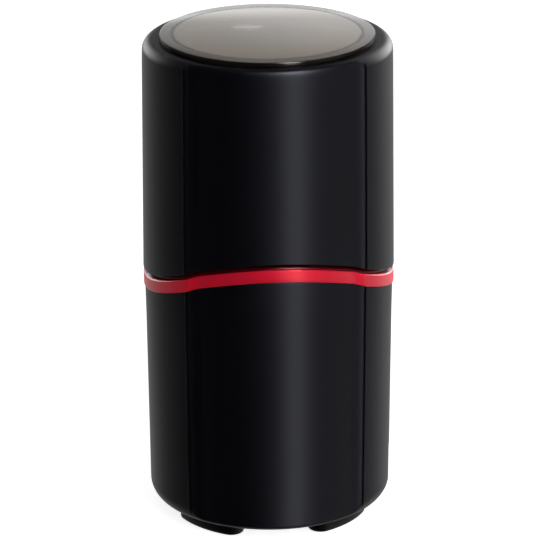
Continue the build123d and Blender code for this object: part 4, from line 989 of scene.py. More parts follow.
# --- Trim ring --------------------------------------------------------------------
@dataclass(frozen=True)
class TrimRing:
    """Waved red band with the ledge behind it; millimetres."""

    radius: float = 44.9
    crest: float = 105.0
    height: float = 5.05
    wall: float = 2.4
    ledge: float = 1.6
    ledge_inside: float = 34.95
    ledge_bevel: float = 0.25
    skirt_rounding: float = 0.4
    face_shares: tuple[float, ...] = (0.35, 0.65)
    ledge_shares: tuple[float, ...] = (0.25, 0.5, 0.75)
    channel_rounding: float = 0.2
    rounding: float = 0.45
    step_down: float = 0.45
    land: float = 0.5
    channel: float = 2.3
    channel_depth: float = 0.9
    bead: float = 3.5
    rod_place: float = 38.4
    rod_hole: float = 2.0
    rod_hole_span: tuple[float, float] = (80.0, 110.0)
    shade_inset: float = 0.05
    shade_lift: float = 0.1

    def build(self) -> bpy.types.Object:
        """Make and dress the band.

        Returns:
            The band.
        """
        angles, outer = DRUM.plan(self.radius)
        _, inner = DRUM.plan(self.radius, self.wall)
        low = self.crest - self.height
        rings = []
        for step in range(EDGE_STEPS + 1):
            turn = step / EDGE_STEPS * QUARTER
            radii = outer - self.rounding * (1 - math.sin(turn))
            rise = self.rounding * (1 - math.cos(turn))
            rings.append(ring_of(angles, radii, ARCH.height(low, angles, radii) + rise))
        for share in self.face_shares:
            heights = ARCH.height(low, angles, outer) + (self.height - self.step_down) * share
            rings.append(ring_of(angles, outer, heights))
        for step in range(EDGE_STEPS + 1):
            turn = step / EDGE_STEPS * QUARTER
            radii = outer - self.rounding * (1 - math.cos(turn))
            drop = self.rounding * (1 - math.sin(turn)) + self.step_down
            rings.append(ring_of(angles, radii, ARCH.height(self.crest, angles, radii) - drop))
        rings += self.channel_rings(angles, outer)
        hole = np.full(len(angles), self.ledge_inside)
        for share in self.ledge_shares:
            radii = (outer - self.bead) * (1 - share) + hole * share
            rings.append(ring_of(angles, radii, ARCH.height(self.crest, angles, radii)))
        bevel, bend = self.ledge_bevel, self.skirt_rounding
        for radii, drop in ((hole + bevel, 0.0), (hole, bevel), (hole, self.ledge - bevel),
                            (hole + bevel, self.ledge), (inner - bend, self.ledge), (inner, self.ledge + bend)):
            rings.append(ring_of(angles, radii, ARCH.height(self.crest, angles, radii) - drop))
        rings.append(ring_of(angles, inner, ARCH.height(low, angles, inner)))
        sheet = Sheet()
        sheet.band(rings, loop=True)
        band = sheet.build("red_trim_band")
        carve(band, [post("rod_hole", self.rod_place, 0.0, self.rod_hole, *self.rod_hole_span)])
        fitted(band, "base", RED_GLOSS, "red_trim", "trim_ring")
        self.shade(band)
        return band

    def shade(self, band: bpy.types.Object) -> None:
        """Paint the channel, the bead and the ledge behind the face a darker red, as painted shade under the lid's
        lip.

        Args:
            band: the finished band.
        """
        band.data.materials.append(RED_PAINTED_SHADE.material())
        angles, radii = DRUM.plan(self.radius)
        for face in band.data.polygons:
            x, y, z = face.center / MM
            turn, reach = math.atan2(x, -y), math.hypot(x, y)
            rim = float(np.interp(turn % (2 * math.pi), angles, radii))
            level = float(ARCH.height(self.crest, turn, reach))
            # Faces behind the band's face and above the ledge's foot take the painted shade
            if reach < rim - self.land - self.shade_inset and z > level - self.ledge + self.shade_lift:
                face.material_index = 1

    def channel_rings(self, angles: np.ndarray, outer: np.ndarray) -> list[np.ndarray]:
        """Rings of the channel behind the face and of the round bead that rises to the ledge.

        Args:
            angles: the columns' angles.
            outer: radii of the face.

        Returns:
            The rings, from the face inward.
        """
        rings = []
        for back, drop in ((self.land, self.step_down), (self.land + self.channel_rounding, self.channel_depth),
                           (self.channel, self.channel_depth)):
            radii = outer - back
            rings.append(ring_of(angles, radii, ARCH.height(self.crest, angles, radii) - drop))
        for step in range(1, EDGE_STEPS + 1):
            turn = step / EDGE_STEPS * QUARTER
            radii = outer - self.channel - (self.bead - self.channel) * (1 - math.cos(turn))
            drop = self.channel_depth * (1 - math.sin(turn))
            rings.append(ring_of(angles, radii, ARCH.height(self.crest, angles, radii) - drop))
        return rings


def post(name: str, x: float, y: float, radius: float, low: float, high: float,
         columns: int = 40) -> bpy.types.Object:
    """Closed upright cylinder in millimetres, to cut with or to keep.

    Args:
        name: its name.
        x: centre across.
        y: centre front to rear.
        radius: its radius.
        low: height of its lower end.
        high: height of its upper end.
        columns: points around.

    Returns:
        The new object.
    """
    sheet = Sheet()
    offset = np.array([x, y, 0.0]) * MM
    rings = [circle(r * MM, z * MM, columns) + offset
             for r, z in ((HAIR, low), (radius, low), (radius, high), (HAIR, high))]
    sheet.band(rings)
    return sheet.build(name)


# --- Body -------------------------------------------------------------------------
@dataclass(frozen=True)
class Housing:
    """Black outer housing of the base; millimetres."""

    top_radius: float = 44.5
    base_radius: float = 43.45
    underside: float = 4.5
    fillet: float = 6.9
    crest: float = 99.95
    wall: float = 2.4
    seat_radius: float = 36.35
    seat_top: float = 9.3
    seat_under: float = 6.9
    seat_hole: float = 33.5
    entry_angle: float = 100.0
    entry_place: float = 40.75
    entry_top: float = 24.0
    entry_height: float = 16.0
    slot_half: float = 5.03
    slot_depth: float = 37.1
    slot_low: float = 3.0
    slot_run: float = 12.0
    lip_rounding: float = 0.5
    deck: float = 66.0
    rest_width: float = 2.4
    rest_thickness: float = 2.0
    rest_angle: float = 25.0
    rest_bite: float = 0.4
    rest_columns: int = 25
    rest_middles: tuple[float, ...] = (0.0, 180.0)
    crest_reach: float = 0.55
    crest_share: float = 0.6
    crest_above: float = 0.5
    crest_steps: int = 5
    steps: int = 14
    edge_below: float = 5.0
    flat_side: float = 0.3
    low_rings: tuple[float, ...] = (14.0, 18.0, 21.0)
    high_rings: tuple[float, ...] = (30.0, 45.0, 60.0, 75.0)
    inner_low_rings: tuple[float, ...] = (18.0, 11.0)

    def radius(self, height: float) -> float:
        """Outer radius of the tapered wall at a height."""
        low = self.underside + self.fillet
        return self.base_radius + (self.top_radius - self.base_radius) * (height - low) / (self.crest - low)

    def flattened(self, angles: np.ndarray, radii: np.ndarray, height: float, behind: float = 0.0) -> np.ndarray:
        """Radii with the flat of the cord entry cut in, below its top.

        Args:
            angles: the columns' angles.
            radii: their distances from the axis.
            height: height of the ring.
            behind: how far behind the flat the face lies.

        Returns:
            The new radii.
        """
        if height >= self.entry_top + behind:
            return radii
        swing = angles - math.radians(self.entry_angle)
        ahead = np.cos(swing) > self.flat_side
        plane = (self.entry_place - behind) / np.where(ahead, np.cos(swing), 1.0)
        return np.where(ahead, np.minimum(radii, plane), radii)

    def outer_wall(self) -> list[np.ndarray]:
        """Rings of the underside's edge, the rounded lower edge and the wall, up to the lip.

        Returns:
            The rings, bottom to top.
        """
        base = self.underside + self.fillet
        centre = self.base_radius - self.fillet
        angles, radii, meet = DRUM.edge(self.base_radius, self.fillet)
        reach = np.minimum(self.crest_reach / self.fillet, (QUARTER - meet) * self.crest_share)
        touch = meet + reach
        rings = []
        for step in range(self.steps + 1):
            turn = QUARTER - (QUARTER - meet - reach) * step / self.steps
            spread = centre + self.fillet * np.cos(turn)
            rings.append(ring_of(angles, self.flattened(angles, spread, 0.0), base - self.fillet * np.sin(turn)))
        corner_height = base - self.fillet * np.sin(meet)
        start = np.stack([centre + self.fillet * np.cos(touch), base - self.fillet * np.sin(touch)], 1)
        tip = np.stack([radii, corner_height], 1)
        stop = np.stack([radii, corner_height + self.crest_above], 1)
        for step in range(1, self.crest_steps + 1):
            point = bent(start, tip, stop, step / self.crest_steps)
            rings.append(ring_of(angles, self.flattened(angles, point[:, 0], 0.0), point[:, 1]))
        for height in (*self.low_rings, self.entry_top - STEP, self.entry_top, *self.high_rings):
            turns, spread = DRUM.plan(self.radius(height), grooved=True)
            rings.append(ring_of(turns, self.flattened(turns, spread, height), height))
        return rings

    def inside(self) -> list[np.ndarray]:
        """Rings of the inner wall, the seat and the recess for the cover.

        Returns:
            The rings, from the lip down.
        """
        rings = []
        shelf = self.entry_top + self.wall
        for height in (*self.high_rings[:0:-1], shelf + STEP, shelf, *self.inner_low_rings, self.seat_top):
            turns, spread = DRUM.plan(self.radius(height), self.wall)
            rings.append(ring_of(turns, self.flattened(turns, spread, height, self.wall), height))
        angles, _ = DRUM.plan(self.base_radius)
        for radius, height in ((self.seat_hole, self.seat_top), (self.seat_hole, self.seat_under),
                               (self.seat_radius, self.seat_under), (self.seat_radius, self.underside)):
            rings.append(ring_of(angles, np.full(len(angles), radius), height))
        return rings

    def build(self) -> bpy.types.Object:
        """Make and dress the housing.

        Returns:
            The housing.
        """
        rim = self.radius(self.crest - self.edge_below)
        angles, outer = DRUM.plan(rim, grooved=True)
        _, inner = DRUM.plan(rim, self.wall)
        sheet = Sheet()
        edge = lip(angles, outer, inner, self.crest, -1.0, self.lip_rounding)
        sheet.band(self.outer_wall() + edge + self.inside(), loop=True)
        for middle in self.rest_middles:
            self.rest(sheet, middle)
        body = sheet.build("body_outer_housing", CARVED_CREASE)
        carve(body, [self.slot()])
        return fitted(body, "base", BLACK_SATIN, "black_plastic", "body_housing")

    def rest(self, sheet: Sheet, middle: float) -> None:
        """Add one ledge that the inner frame rests on.

        Args:
            sheet: the housing being gathered.
            middle: its angle from the front, in degrees.
        """
        far = self.radius(self.deck) - DRUM.inset - self.wall
        first, last = middle - self.rest_angle, middle + self.rest_angle
        turns = np.radians(np.linspace(first, last, self.rest_columns))
        rings = []
        back, front = far + self.rest_bite, far - self.rest_width
        for radius, height in ((back, self.deck), (front, self.deck), (front, self.deck - self.rest_thickness),
                               (back, self.deck - self.rest_thickness)):
            rings.append(ring_of(turns, np.full(len(turns), radius), height))
        sheet.band(rings, loop=True, wrap=False)

    def slot(self) -> bpy.types.Object:
        """Block that cuts the square slot of the cord gland.

        Returns:
            The cutter.
        """
        work = bmesh.new()
        made = bmesh.ops.create_cube(work, size=1.0)
        low, high = self.slot_low, self.entry_height + self.slot_half
        size = Vector((self.slot_run, 2 * self.slot_half, high - low)) * MM
        centre = Vector((self.slot_depth + self.slot_run / 2, 0.0, (low + high) / 2)) * MM
        turn = Matrix.Rotation(math.radians(self.entry_angle - 90), 3, "Z")
        bmesh.ops.scale(work, vec=size, verts=made["verts"])
        bmesh.ops.translate(work, vec=centre, verts=made["verts"])
        bmesh.ops.rotate(work, cent=(0, 0, 0), matrix=turn, verts=made["verts"])
        return cutter("slot", work)


@dataclass(frozen=True)
class Foot:
    """One arc-shaped rubber foot; millimetres and degrees."""

    name: str
    middle: float
    line: float = 31.6
    half_width: float = 4.7
    half_arc: float = 17.5
    height: float = 4.5
    rounding: float = 1.3
    side_steps: int = 25
    end_steps: int = 17
    edge_steps: int = 7
    top_bevel: float = 0.15
    recess: tuple[tuple[float, float], ...] = ((0.01, 0.45), (1.9, 0.45), (2.2, 0.35), (2.5, 0.05), (2.7, 0.0))

    def outline(self, half: float, height: float) -> np.ndarray:
        """Ring around the foot's centre line.

        Args:
            half: half the width of the ring.
            height: its height.

        Returns:
            The ring, in metres.
        """
        points = []
        first, last = math.radians(self.middle - self.half_arc), math.radians(self.middle + self.half_arc)
        for start, stop, side in ((first, last, 1.0), (last, first, -1.0)):
            for turn in np.linspace(start, stop, self.side_steps):
                points.append(around(self.line + side * half, turn, height))
            end, out, along = around(self.line, stop, height), around(1.0, stop, 0.0), beside(stop)
            for turn in np.linspace(0, math.pi, self.end_steps)[1:-1]:
                points.append(end + (out * math.cos(turn) + along * math.sin(turn)) * half * side)
        return np.array([tuple(point) for point in points]) * MM

    def build(self) -> bpy.types.Object:
        """Make and dress the foot.

        Returns:
            The foot.
        """
        bevel = self.rounding
        line = [*self.recess, (self.half_width - bevel, 0.0)]
        for step in range(1, self.edge_steps + 1):
            turn = step / self.edge_steps * QUARTER
            line.append((self.half_width - bevel * (1 - math.sin(turn)), bevel * (1 - math.cos(turn))))
        line += [(self.half_width, self.height - self.top_bevel), (self.half_width - self.top_bevel, self.height),
                 (self.recess[0][0], self.height)]
        sheet = Sheet()
        sheet.band([self.outline(half, height) for half, height in line])
        foot = sheet.build(f"rubber_{self.name}", crease=45.0)
        return fitted(foot, "base", BLACK_RUBBER, "black_rubber", self.name)


# --- Bowl and blade ---------------------------------------------------------------
@dataclass(frozen=True)
class Bowl:
    """Drawn steel bowl with a flat rim; millimetres."""

    floor: float = 70.8
    rim: float = 114.8
    wall: float = 0.8
    corner: float = 10.0
    floor_radius: float = 20.0
    rim_radius: float = 31.5
    flange: float = 34.6
    hole: float = 6.0
    floor_ring: float = 13.0
    rim_bend: tuple[tuple[float, float], ...] = ((-0.1, 1.4), (0.05, 0.6), (0.35, 0.15), (0.8, 0.0))
    under_rim: float = 0.1
    steps: int = 12
    columns: int = 192

    def side(self, outward: float) -> list[tuple[float, float]]:
        """Profile of one face, from the hole up to the rim.

        Args:
            outward: how far outside the inner face it lies.

        Returns:
            (radius, height) points.
        """
        points = [(self.hole, self.floor - outward), (self.floor_ring, self.floor - outward)]
        reach = self.corner + outward
        for step in range(self.steps + 1):
            turn = step / self.steps * QUARTER
            points.append((self.floor_radius + reach * math.sin(turn),
                           self.floor + self.corner - reach * math.cos(turn)))
        return points

    def build(self) -> bpy.types.Object:
        """Make and dress the bowl.

        Returns:
            The bowl.
        """
        edge = self.wall / 2
        line = self.side(0.0)
        line += [(self.rim_radius + out, self.rim - down) for out, down in self.rim_bend]
        for step in range(EDGE_STEPS + 1):
            turn = step / EDGE_STEPS * math.pi
            line.append((self.flange - edge + edge * math.sin(turn), self.rim - edge + edge * math.cos(turn)))
        line += [(self.rim_radius + self.wall + self.under_rim, self.rim - self.wall)]
        line += self.side(self.wall)[::-1]
        sheet = Sheet()
        sheet.band([circle(r * MM, z * MM, self.columns) for r, z in line], loop=True)
        return fitted(sheet.build("steel_bowl"), "base", BOWL_STEEL, "bowl_steel", "grinding_bowl")


@dataclass(frozen=True)
class ReturnSpring:
    """Coil spring between the deck and the rod's clip; millimetres."""

    place: float = 38.4
    low: float = 69.37
    rise: float = 11.26
    radius: float = 2.75
    wire: float = 0.32
    turns: float = 7.0
    dead_turns: float = 0.75
    dead_pitch: float = 2.2
    clip_under: float = 81.0
    deck: float = 69.0
    press: float = 1.0
    steps_per_turn: int = 36
    sides: int = 12

    def lift(self, turn: float) -> float:
        """Height of the wire over its start; the end turns lie nearly flat.

        Args:
            turn: turns along the wire.

        Returns:
            The height.
        """
        flat = self.dead_pitch * self.wire * self.dead_turns
        marks = (0.0, self.dead_turns, self.turns - self.dead_turns, self.turns)
        return float(np.interp(turn, marks, (0.0, flat, self.rise - flat, self.rise)))

    def build(self) -> bpy.types.Object:
        """Make and dress the spring at one length; the real spring shortens as the rod goes down.

        Returns:
            The spring.
        """
        steps = int(self.turns * self.steps_per_turn)
        spin = np.linspace(0.0, 2 * math.pi, self.sides, endpoint=False)[:, None]
        rings = []
        for step in range(steps + 1):
            turn = self.turns * step / steps
            angle = 2 * math.pi * turn
            outward = np.array([math.cos(angle), math.sin(angle), 0.0])
            middle = np.array([self.place + self.radius * math.cos(angle), self.radius * math.sin(angle),
                               self.low + self.lift(turn)])
            section = np.cos(spin) * outward + np.sin(spin) * np.array([0.0, 0.0, 1.0])
            rings.append((middle + self.wire * section) * MM)
        sheet = Sheet()
        sheet.band([cap(rings[0]), *rings, cap(rings[-1])])
        spring = fitted(sheet.build("return_spring", crease=50.0), "press", MACHINED, "steel", "press_spring")
        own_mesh(spring)
        return spring


@dataclass(frozen=True)
class Blade:
    """Two-armed blade with a ground edge and bent-up tips; millimetres."""

    under: float = 76.4
    span: float = 54.0
    width: float = 9.0
    tip_width: float = 5.5
    thickness: float = 1.2
    rise: float = 3.6
    flat: float = 16.0
    bevel: float = 1.7
    bevel_start: float = 0.4
    bevel_run: float = 4.0
    bevel_drop: float = 0.02
    keen: tuple[float, float] = (0.12, 0.28)
    land: float = 0.3
    rounding: float = 0.2
    tip_rounding: tuple[float, float] = (0.12, 0.35)
    places: tuple[float, ...] = (0.0, 2.0, 4.0, 6.0, 7.4, 8.0, 8.6, 10.0, 12.0, 15.0, 18.0, 21.0, 24.0, 26.4, 26.8,
                                 27.0)

    def section(self, x: float) -> list[Vector]:
        """Cross-section at a place along one arm.

        Args:
            x: distance from the axis.

        Returns:
            The corners, once around.
        """
        share = max(0.0, (x - self.flat / 2) / (self.span / 2 - self.flat / 2))
        near = -self.width / 2 + (self.width - self.tip_width) * share
        far = self.width / 2
        low = self.under + self.rise * share
        high = low + self.thickness
        ground = self.bevel * (self.bevel_start + (1 - self.bevel_start) * min(1.0, share * self.bevel_run))
        under, over = self.keen
        bend = self.rounding
        return [Vector((x, y, z)) for y, z in (
            (near, low + under), (near, low + over), (near + ground, high - self.bevel_drop),
            (near + self.bevel + self.land, high), (far - bend, high), (far, high - bend),
            (far, low + bend), (far - bend, low), (near + self.land, low))]

    def build(self) -> bpy.types.Object:
        """Make and dress the blade.

        Returns:
            The blade.
        """
        right = [np.array([tuple(point) for point in self.section(x)]) for x in self.places]
        for shrink, ring in zip(self.tip_rounding, right[-2:]):
            middle = ring.mean(0)
            ring[:, 1:] = middle[1:] + (ring[:, 1:] - middle[1:]) * (1 - shrink)
        sheet = Sheet()
        for arm in (right, [ring * np.array([-1.0, -1.0, 1.0]) for ring in right]):
            sheet.band([ring * MM for ring in arm] + [cap(arm[-1]) * MM])
        blade = sheet.build("ground_blade", crease=25.0)
        return fitted(blade, "rotor", BLADE_STEEL, "blade_steel", "blade")


# --- Screws -----------------------------------------------------------------------
@dataclass(frozen=True)
class Screws:
    """A set of cross-head screws that point up; millimetres."""

    name: str
    node: str
    body: str
    places: tuple[tuple[float, float], ...]
    head_under: float
    head_height: float
    head_radius: float
    shank_radius: float
    tip: float
    pitch: float = 0.9
    columns: int = 36
    axis: float = 0.001
    crown: float = 0.02
    dome: tuple[tuple[float, float], ...] = ((0.6, 0.05), (0.88, 0.22), (1.0, 0.6))
    root_share: float = 0.8
    plain: float = 1.5
    last_turn: float = 2.2
    point: float = 1.6
    arm_share: float = 0.55
    slot_share: float = 0.13
    recess_share: float = 0.62
    recess_start: float = 0.5
    flare: tuple[float, float] = (1.1, 0.75)
    first_turn: float = 0.6
    turn_across: float = 0.37
    turn_along: float = 0.21

    def build(self) -> bpy.types.Object:
        """Make and dress the set.

        Returns:
            The screws as one piece.
        """
        sheet = Sheet()
        for x, y in self.places:
            offset = np.array([x, y, 0.0]) * MM
            sheet.band([circle(r * MM, z * MM, self.columns) + offset for r, z in self.profile()])
        screws = sheet.build(self.name, crease=40.0)
        carve(screws, [self.cross(x, y) for x, y in self.places])
        return fitted(screws, self.body, MACHINED, "steel", self.node)

    def profile(self) -> list[tuple[float, float]]:
        """Profile of one screw, from the middle of its head to its tip.

        Returns:
            (radius, height) points in millimetres.
        """
        low = self.head_under
        line = [(self.axis, low + self.crown)]
        line += [(self.head_radius * share, low + rise) for share, rise in self.dome]
        line += [(self.head_radius, low + self.head_height), (self.shank_radius, low + self.head_height)]
        height = low + self.head_height + self.plain
        root = self.shank_radius * self.root_share
        while height < self.tip - self.last_turn:
            line += [(root, height), (self.shank_radius, height + self.pitch / 2), (root, height + self.pitch)]
            height += self.pitch
        line += [(root, self.tip - self.point), (self.axis, self.tip)]
        return line

    def cross(self, x: float, y: float) -> bpy.types.Object:
        """Cutter for the cross recess of one screw.

        Args:
            x: centre across.
            y: centre front to rear.

        Returns:
            The cutter.
        """
        arm, half = self.head_radius * self.arm_share, self.head_radius * self.slot_share
        plan = [(half, -arm), (half, -half), (arm, -half), (arm, half), (half, half), (half, arm), (-half, arm),
                (-half, half), (-arm, half), (-arm, -half), (-half, -half), (-half, -arm)]
        turn = self.first_turn + x * self.turn_across + y * self.turn_along    # each stopped at its own turn
        spun = [(px * math.cos(turn) - py * math.sin(turn), px * math.sin(turn) + py * math.cos(turn))
                for px, py in plan]
        work = bmesh.new()
        low, high = self.head_under - self.recess_start, self.head_under + self.head_height * self.recess_share
        loops = [[work.verts.new(Vector((x + px * grow, y + py * grow, z)) * MM) for px, py in spun]
                 for z, grow in zip((low, high), self.flare)]
        lower, upper = loops
        for index in range(len(spun)):
            after = (index + 1) % len(spun)
            work.faces.new((lower[index], lower[after], upper[after], upper[index]))
        work.faces.new(lower[::-1])
        work.faces.new(upper)
        bmesh.ops.recalc_face_normals(work, faces=work.faces)
        return cutter("cross", work)


# --- Stage ------------------------------------------------------------------------
AIM = Vector((0.0, 0.0, 0.09))    # middle of the object, which the lights face; metres


class Catches(Enum):
    """Pieces that a panel shows in, where it doesn't show in all of them."""

    DARK = ("lid_outer_shell", "red_trim_band", "body_outer_housing", "smoked_window")
    DRUM = ("lid_outer_shell", "red_trim_band", "body_outer_housing")
    BAND = ("red_trim_band",)

    def collection(self) -> bpy.types.Collection:
        """Collection of these pieces, made once.

        Returns:
            The collection.
        """
        held = bpy.data.collections.get(self.name.lower())
        if held is None:
            held = bpy.data.collections.new(self.name.lower())
            for piece in self.value:
                held.objects.link(bpy.data.objects[piece])
        return held


@dataclass(frozen=True)
class Light:
    """Rectangle that faces the object's middle; metres and degrees."""

    name: str
    azimuth: float
    elevation: float
    distance: float
    width: float
    height: float
    strength: float

    def middle(self) -> Vector:
        """Where the middle of the rectangle is."""
        return AIM + away(self.azimuth, self.elevation) * self.distance


@dataclass(frozen=True)
class Softbox(Light):
    """Lamp that lights the object."""

    def place(self) -> bpy.types.Object:
        """Make the lamp and turn it to the object.

        Returns:
            The lamp.
        """
        light = bpy.data.lights.new(self.name, "AREA")
        light.shape = "RECTANGLE"
        light.size, light.size_y = self.width, self.height
        light.energy = self.strength * self.width * self.height * math.pi
        lamp = placed(self.name, light)
        lamp.location = self.middle()
        lamp.rotation_euler = away(self.azimuth, self.elevation).to_track_quat("Z", "Y").to_euler()
        return lamp


@dataclass(frozen=True)
class Reflector(Light):
    """Bright panel that only shows in gloss, with sides that may fade out."""

    feather: float = 0.0
    lit: Catches | None = None

    def place(self) -> bpy.types.Object:
        """Make the panel and turn it to the object.

        Returns:
            The panel.
        """
        across = beside(math.radians(self.azimuth)) * self.width / 2
        upward = away(self.azimuth, self.elevation).cross(across).normalized() * self.height / 2
        corners = [self.middle() + across * x + upward * y for x, y in ((-1, -1), (1, -1), (1, 1), (-1, 1))]
        mesh = bpy.data.meshes.new(self.name)
        mesh.from_pydata([tuple(point) for point in corners], [], [(0, 1, 2, 3)])
        sides = mesh.uv_layers.new(name="sides")
        for spot, place in zip(sides.data, ((0.0, 0.0), (1.0, 0.0), (1.0, 1.0), (0.0, 1.0))):
            spot.uv = place
        mesh.materials.append(self.material())
        panel = placed(self.name, mesh)
        if self.lit:
            panel.light_linking.receiver_collection = self.lit.collection()
        panel.visible_camera = False
        panel.visible_diffuse = False
        panel.visible_transmission = False
        panel.visible_volume_scatter = False
        panel.visible_shadow = False
        return panel

    def material(self) -> bpy.types.Material:
        """Make the panel's material.

        Returns:
            The material.
        """
        material = bpy.data.materials.new(self.name)
        material.use_nodes = True
        material.cycles.emission_sampling = "NONE"
        nodes = material.node_tree.nodes
        nodes.remove(nodes["Principled BSDF"])
        graph = Graph(material.node_tree)
        graph.join(self.shown(graph), nodes["Material Output"].inputs["Surface"])
        return material

    def shown(self, graph: Graph) -> bpy.types.NodeSocket:
        """Light of the panel: for chosen pieces added to what lies behind, and opaque otherwise.

        Args:
            graph: the panel's node tree.

        Returns:
            The shader of the panel.
        """
        glow = graph.node("ShaderNodeEmission")
        glow.inputs["Strength"].default_value = self.strength
        if not self.feather and not self.lit:
            return glow.outputs["Emission"]
        clear = graph.node("ShaderNodeBsdfTransparent")
        blend = graph.node("ShaderNodeAddShader" if self.lit else "ShaderNodeMixShader")
        if self.feather and self.lit:
            graph.join(graph.math("MULTIPLY", self.mask(graph), self.strength), glow.inputs["Strength"])
        elif self.feather:
            graph.join(self.mask(graph), blend.inputs["Fac"])
        graph.join(clear.outputs["BSDF"], blend.inputs[-2])
        graph.join(glow.outputs["Emission"], blend.inputs[-1])
        return blend.outputs["Shader"]

    def mask(self, graph: Graph) -> bpy.types.NodeSocket:
        """Value that falls from 1 to 0 towards the panel's sides.

        Args:
            graph: the panel's node tree.

        Returns:
            The value.
        """
        rises = []
        for part in graph.split(graph.node("ShaderNodeTexCoord").outputs["UV"])[:2]:
            rise = graph.node("ShaderNodeMapRange")
            rise.interpolation_type = "SMOOTHSTEP"
            rise.inputs["From Max"].default_value = self.feather
            graph.join(graph.math("PINGPONG", part, 0.5), rise.inputs["Value"])
            rises.append(rise.outputs["Result"])
        return graph.math("MULTIPLY", *rises)


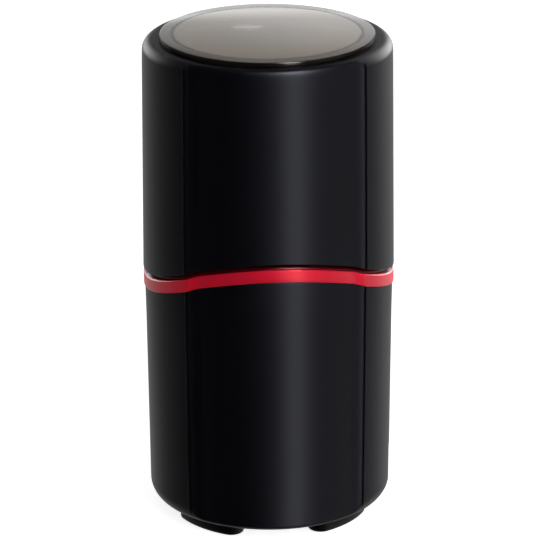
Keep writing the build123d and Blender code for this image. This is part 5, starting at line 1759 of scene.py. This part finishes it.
@dataclass(frozen=True)
class Studio:
    """Floor, world, lamps and camera around the object."""

    floor_level: float = -0.0002
    floor_half: float = 6.0
    paper_tone: tuple[float, float] = (0.79, 0.81)
    paper_grain: float = 900.0
    paper_glow: float = 0.80
    paper_roughness: float = 0.9
    paper_specular: float = 0.1
    world_strength: float = 0.34
    lens: float = 268.9
    sensor: float = 36.0
    view_end: float = 20.0
    camera_distance: float = 1.45
    camera_azimuth: float = -4.45
    camera_elevation: float = 19.31
    camera_roll: float = -0.315
    aim_height: float = 0.08964
    aim_side: float = 0.00048

    def build(self) -> None:
        """Set up everything around the object."""
        self.floor()
        self.world()
        for lamp in self.lamps():
            lamp.place()
        self.camera()

    def lamps(self) -> list[Light]:
        """Lamps and reflectors of the studio.

        Returns:
            The lamps.
        """
        # name, azimuth, elevation, distance, width, height, strength and, for some panels, feather
        return [
            Reflector("key_strip", 21.0, -18.6, 1.1, 0.24, 1.3, 60.0, lit=Catches.DARK),
            Reflector("key_upper", 21.0, 31.0, 1.1, 0.34, 0.75, 260.0, lit=Catches.DARK),
            Reflector("side_wall", 64.0, -18.6, 1.1, 0.75, 1.4, 5.2),
            Reflector("side_band", 76.0, -18.6, 1.05, 0.8, 1.4, 4.2, 0.3, lit=Catches.BAND),
            Reflector("side_rear", 112.0, -18.6, 1.1, 1.1, 1.4, 2.4),
            Reflector("left_wall", -120.0, -18.6, 1.2, 1.6, 1.4, 1.5),
            Reflector("rim_left", -145.0, 15.0, 1.1, 1.05, 0.8, 16.0, 0.4, lit=Catches.DRUM),
            Reflector("rim_right", 134.5, 16.0, 1.0, 0.95, 0.9, 22.0, 0.35, lit=Catches.DRUM),
            Reflector("rear_bank", 170.0, 2.0, 1.15, 1.2, 0.46, 1.8, 0.3),
            Reflector("rear_right", 167.0, 20.0, 1.12, 0.56, 0.8, 1.4, 0.4),
            Reflector("tube", 177.0, 17.0, 1.1, 0.034, 0.010, 3.8),
            Reflector("dark_flag", -38.0, -18.6, 1.0, 1.25, 1.6, 0.2),
            Reflector("rear_flag", -151.0, 48.0, 0.9, 0.8, 0.8, 0.1, 0.3),
            Softbox("key_box", 18.0, 22.0, 1.3, 0.5, 0.8, 6.8),
            Softbox("side_box", 78.0, 25.0, 1.3, 1.2, 0.9, 1.6),
        ]

    def floor(self) -> None:
        """Pale floor that keeps the object's shadow."""
        half = self.floor_half
        corners = [(-half, -half), (half, -half), (half, half), (-half, half)]
        mesh = bpy.data.meshes.new("floor")
        mesh.from_pydata([(x, y, self.floor_level) for x, y in corners], [], [(0, 1, 2, 3)])
        material = bpy.data.materials.new("floor_paper")
        material.use_nodes = True
        graph = Graph(material.node_tree)
        place = graph.node("ShaderNodeTexCoord").outputs["Object"]
        tone = graph.spread(graph.noise(place, self.paper_grain, detail=2.0, rough=0.5), *self.paper_tone)
        graph.join(tone, graph.shader.inputs["Base Color"])
        graph.shader.inputs["Roughness"].default_value = self.paper_roughness
        graph.shader.inputs["Specular IOR Level"].default_value = self.paper_specular
        graph.shader.inputs["Emission Color"].default_value = (1.0, 1.0, 1.0, 1.0)
        graph.join(self.seen(graph, 0.0, self.paper_glow), graph.shader.inputs["Emission Strength"])
        mesh.materials.append(material)
        floor = placed("floor", mesh)
        floor.visible_glossy = False

    def seen(self, graph: Graph, plain: float, shown: float) -> bpy.types.NodeSocket:
        """Strength that is higher where the camera, gloss or glass sees it.

        Args:
            graph: the node tree.
            plain: strength for light that falls on the object.
            shown: strength as seen.

        Returns:
            The strength.
        """
        path = graph.node("ShaderNodeLightPath")
        seen = graph.math("MAXIMUM", path.outputs["Is Camera Ray"], path.outputs["Is Transmission Ray"])
        seen = graph.math("MAXIMUM", seen, path.outputs["Is Glossy Ray"])
        return graph.spread(seen, plain, shown)

    def world(self) -> None:
        """Even light all round, and a white background."""
        world = bpy.data.worlds.new("studio")
        bpy.context.scene.world = world
        world.use_nodes = True
        graph = Graph(world.node_tree)
        background = world.node_tree.nodes["Background"]
        background.inputs["Color"].default_value = (1.0, 1.0, 1.0, 1.0)
        graph.join(self.seen(graph, self.world_strength, 1.0), background.inputs["Strength"])

    def camera(self) -> None:
        """Camera nearly in front of the object and a little above it."""
        data = bpy.data.cameras.new("camera")
        data.lens = self.lens
        data.sensor_width = self.sensor
        data.clip_end = self.view_end
        camera = placed("camera", data)
        toward = away(self.camera_azimuth, self.camera_elevation)
        aim = Vector((0.0, 0.0, self.aim_height)) + beside(math.radians(self.camera_azimuth)) * self.aim_side
        camera.location = aim + toward * self.camera_distance
        roll = Matrix.Rotation(math.radians(self.camera_roll), 4, "Z")
        camera.rotation_euler = (toward.to_track_quat("Z", "Y").to_matrix().to_4x4() @ roll).to_euler()
        bpy.context.scene.camera = camera


# --- Assembly ---------------------------------------------------------------------
FEET = {"foot_front_right": 48.2, "foot_rear_right": 131.8, "foot_rear_left": 228.2, "foot_front_left": 311.8}
COVER_SCREWS = Screws(name="cover_screws", node="base_screws", body="base",
                      places=((6.0, -29.1), (-6.0, -29.1), (6.0, 29.1), (-6.0, 29.1)),
                      head_under=4.5, head_height=1.4, head_radius=2.6, shank_radius=1.4, tip=19.9)
LINER_SCREWS = Screws(name="liner_screws", node="lid_screws", body="lid",
                      places=((34.08, 18.12), (34.08, -18.12), (-34.08, 18.12), (-34.08, -18.12)),
                      head_under=164.4, head_height=1.4, head_radius=2.2, shank_radius=1.2, tip=173.2, pitch=0.7)


def dress_nodes() -> None:
    """Give the parts that keep their own shape their finishes."""
    for finish, nodes in NODE_FINISHES.items():
        for node in nodes:
            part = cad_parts[node]
            part.data.materials.clear()
            part.data.materials.append(finish.material())
            LOG.info("%s: %s", node, finish.name)


def main() -> None:
    """Build every piece in order, then the studio around them."""
    logging.basicConfig(level=logging.INFO, format="%(name)s: %(message)s")
    bpy.context.scene.view_settings.view_transform = "Standard"
    dress_nodes()
    LidShell().build()
    LidWindow().build()
    TrimRing().build()
    Housing().build()
    for name, middle in FEET.items():
        Foot(name, middle).build()
    Bowl().build()
    Blade().build()
    ReturnSpring().build()
    COVER_SCREWS.build()
    LINER_SCREWS.build()
    Studio().build()


if __name__ == "__main__":
    main()
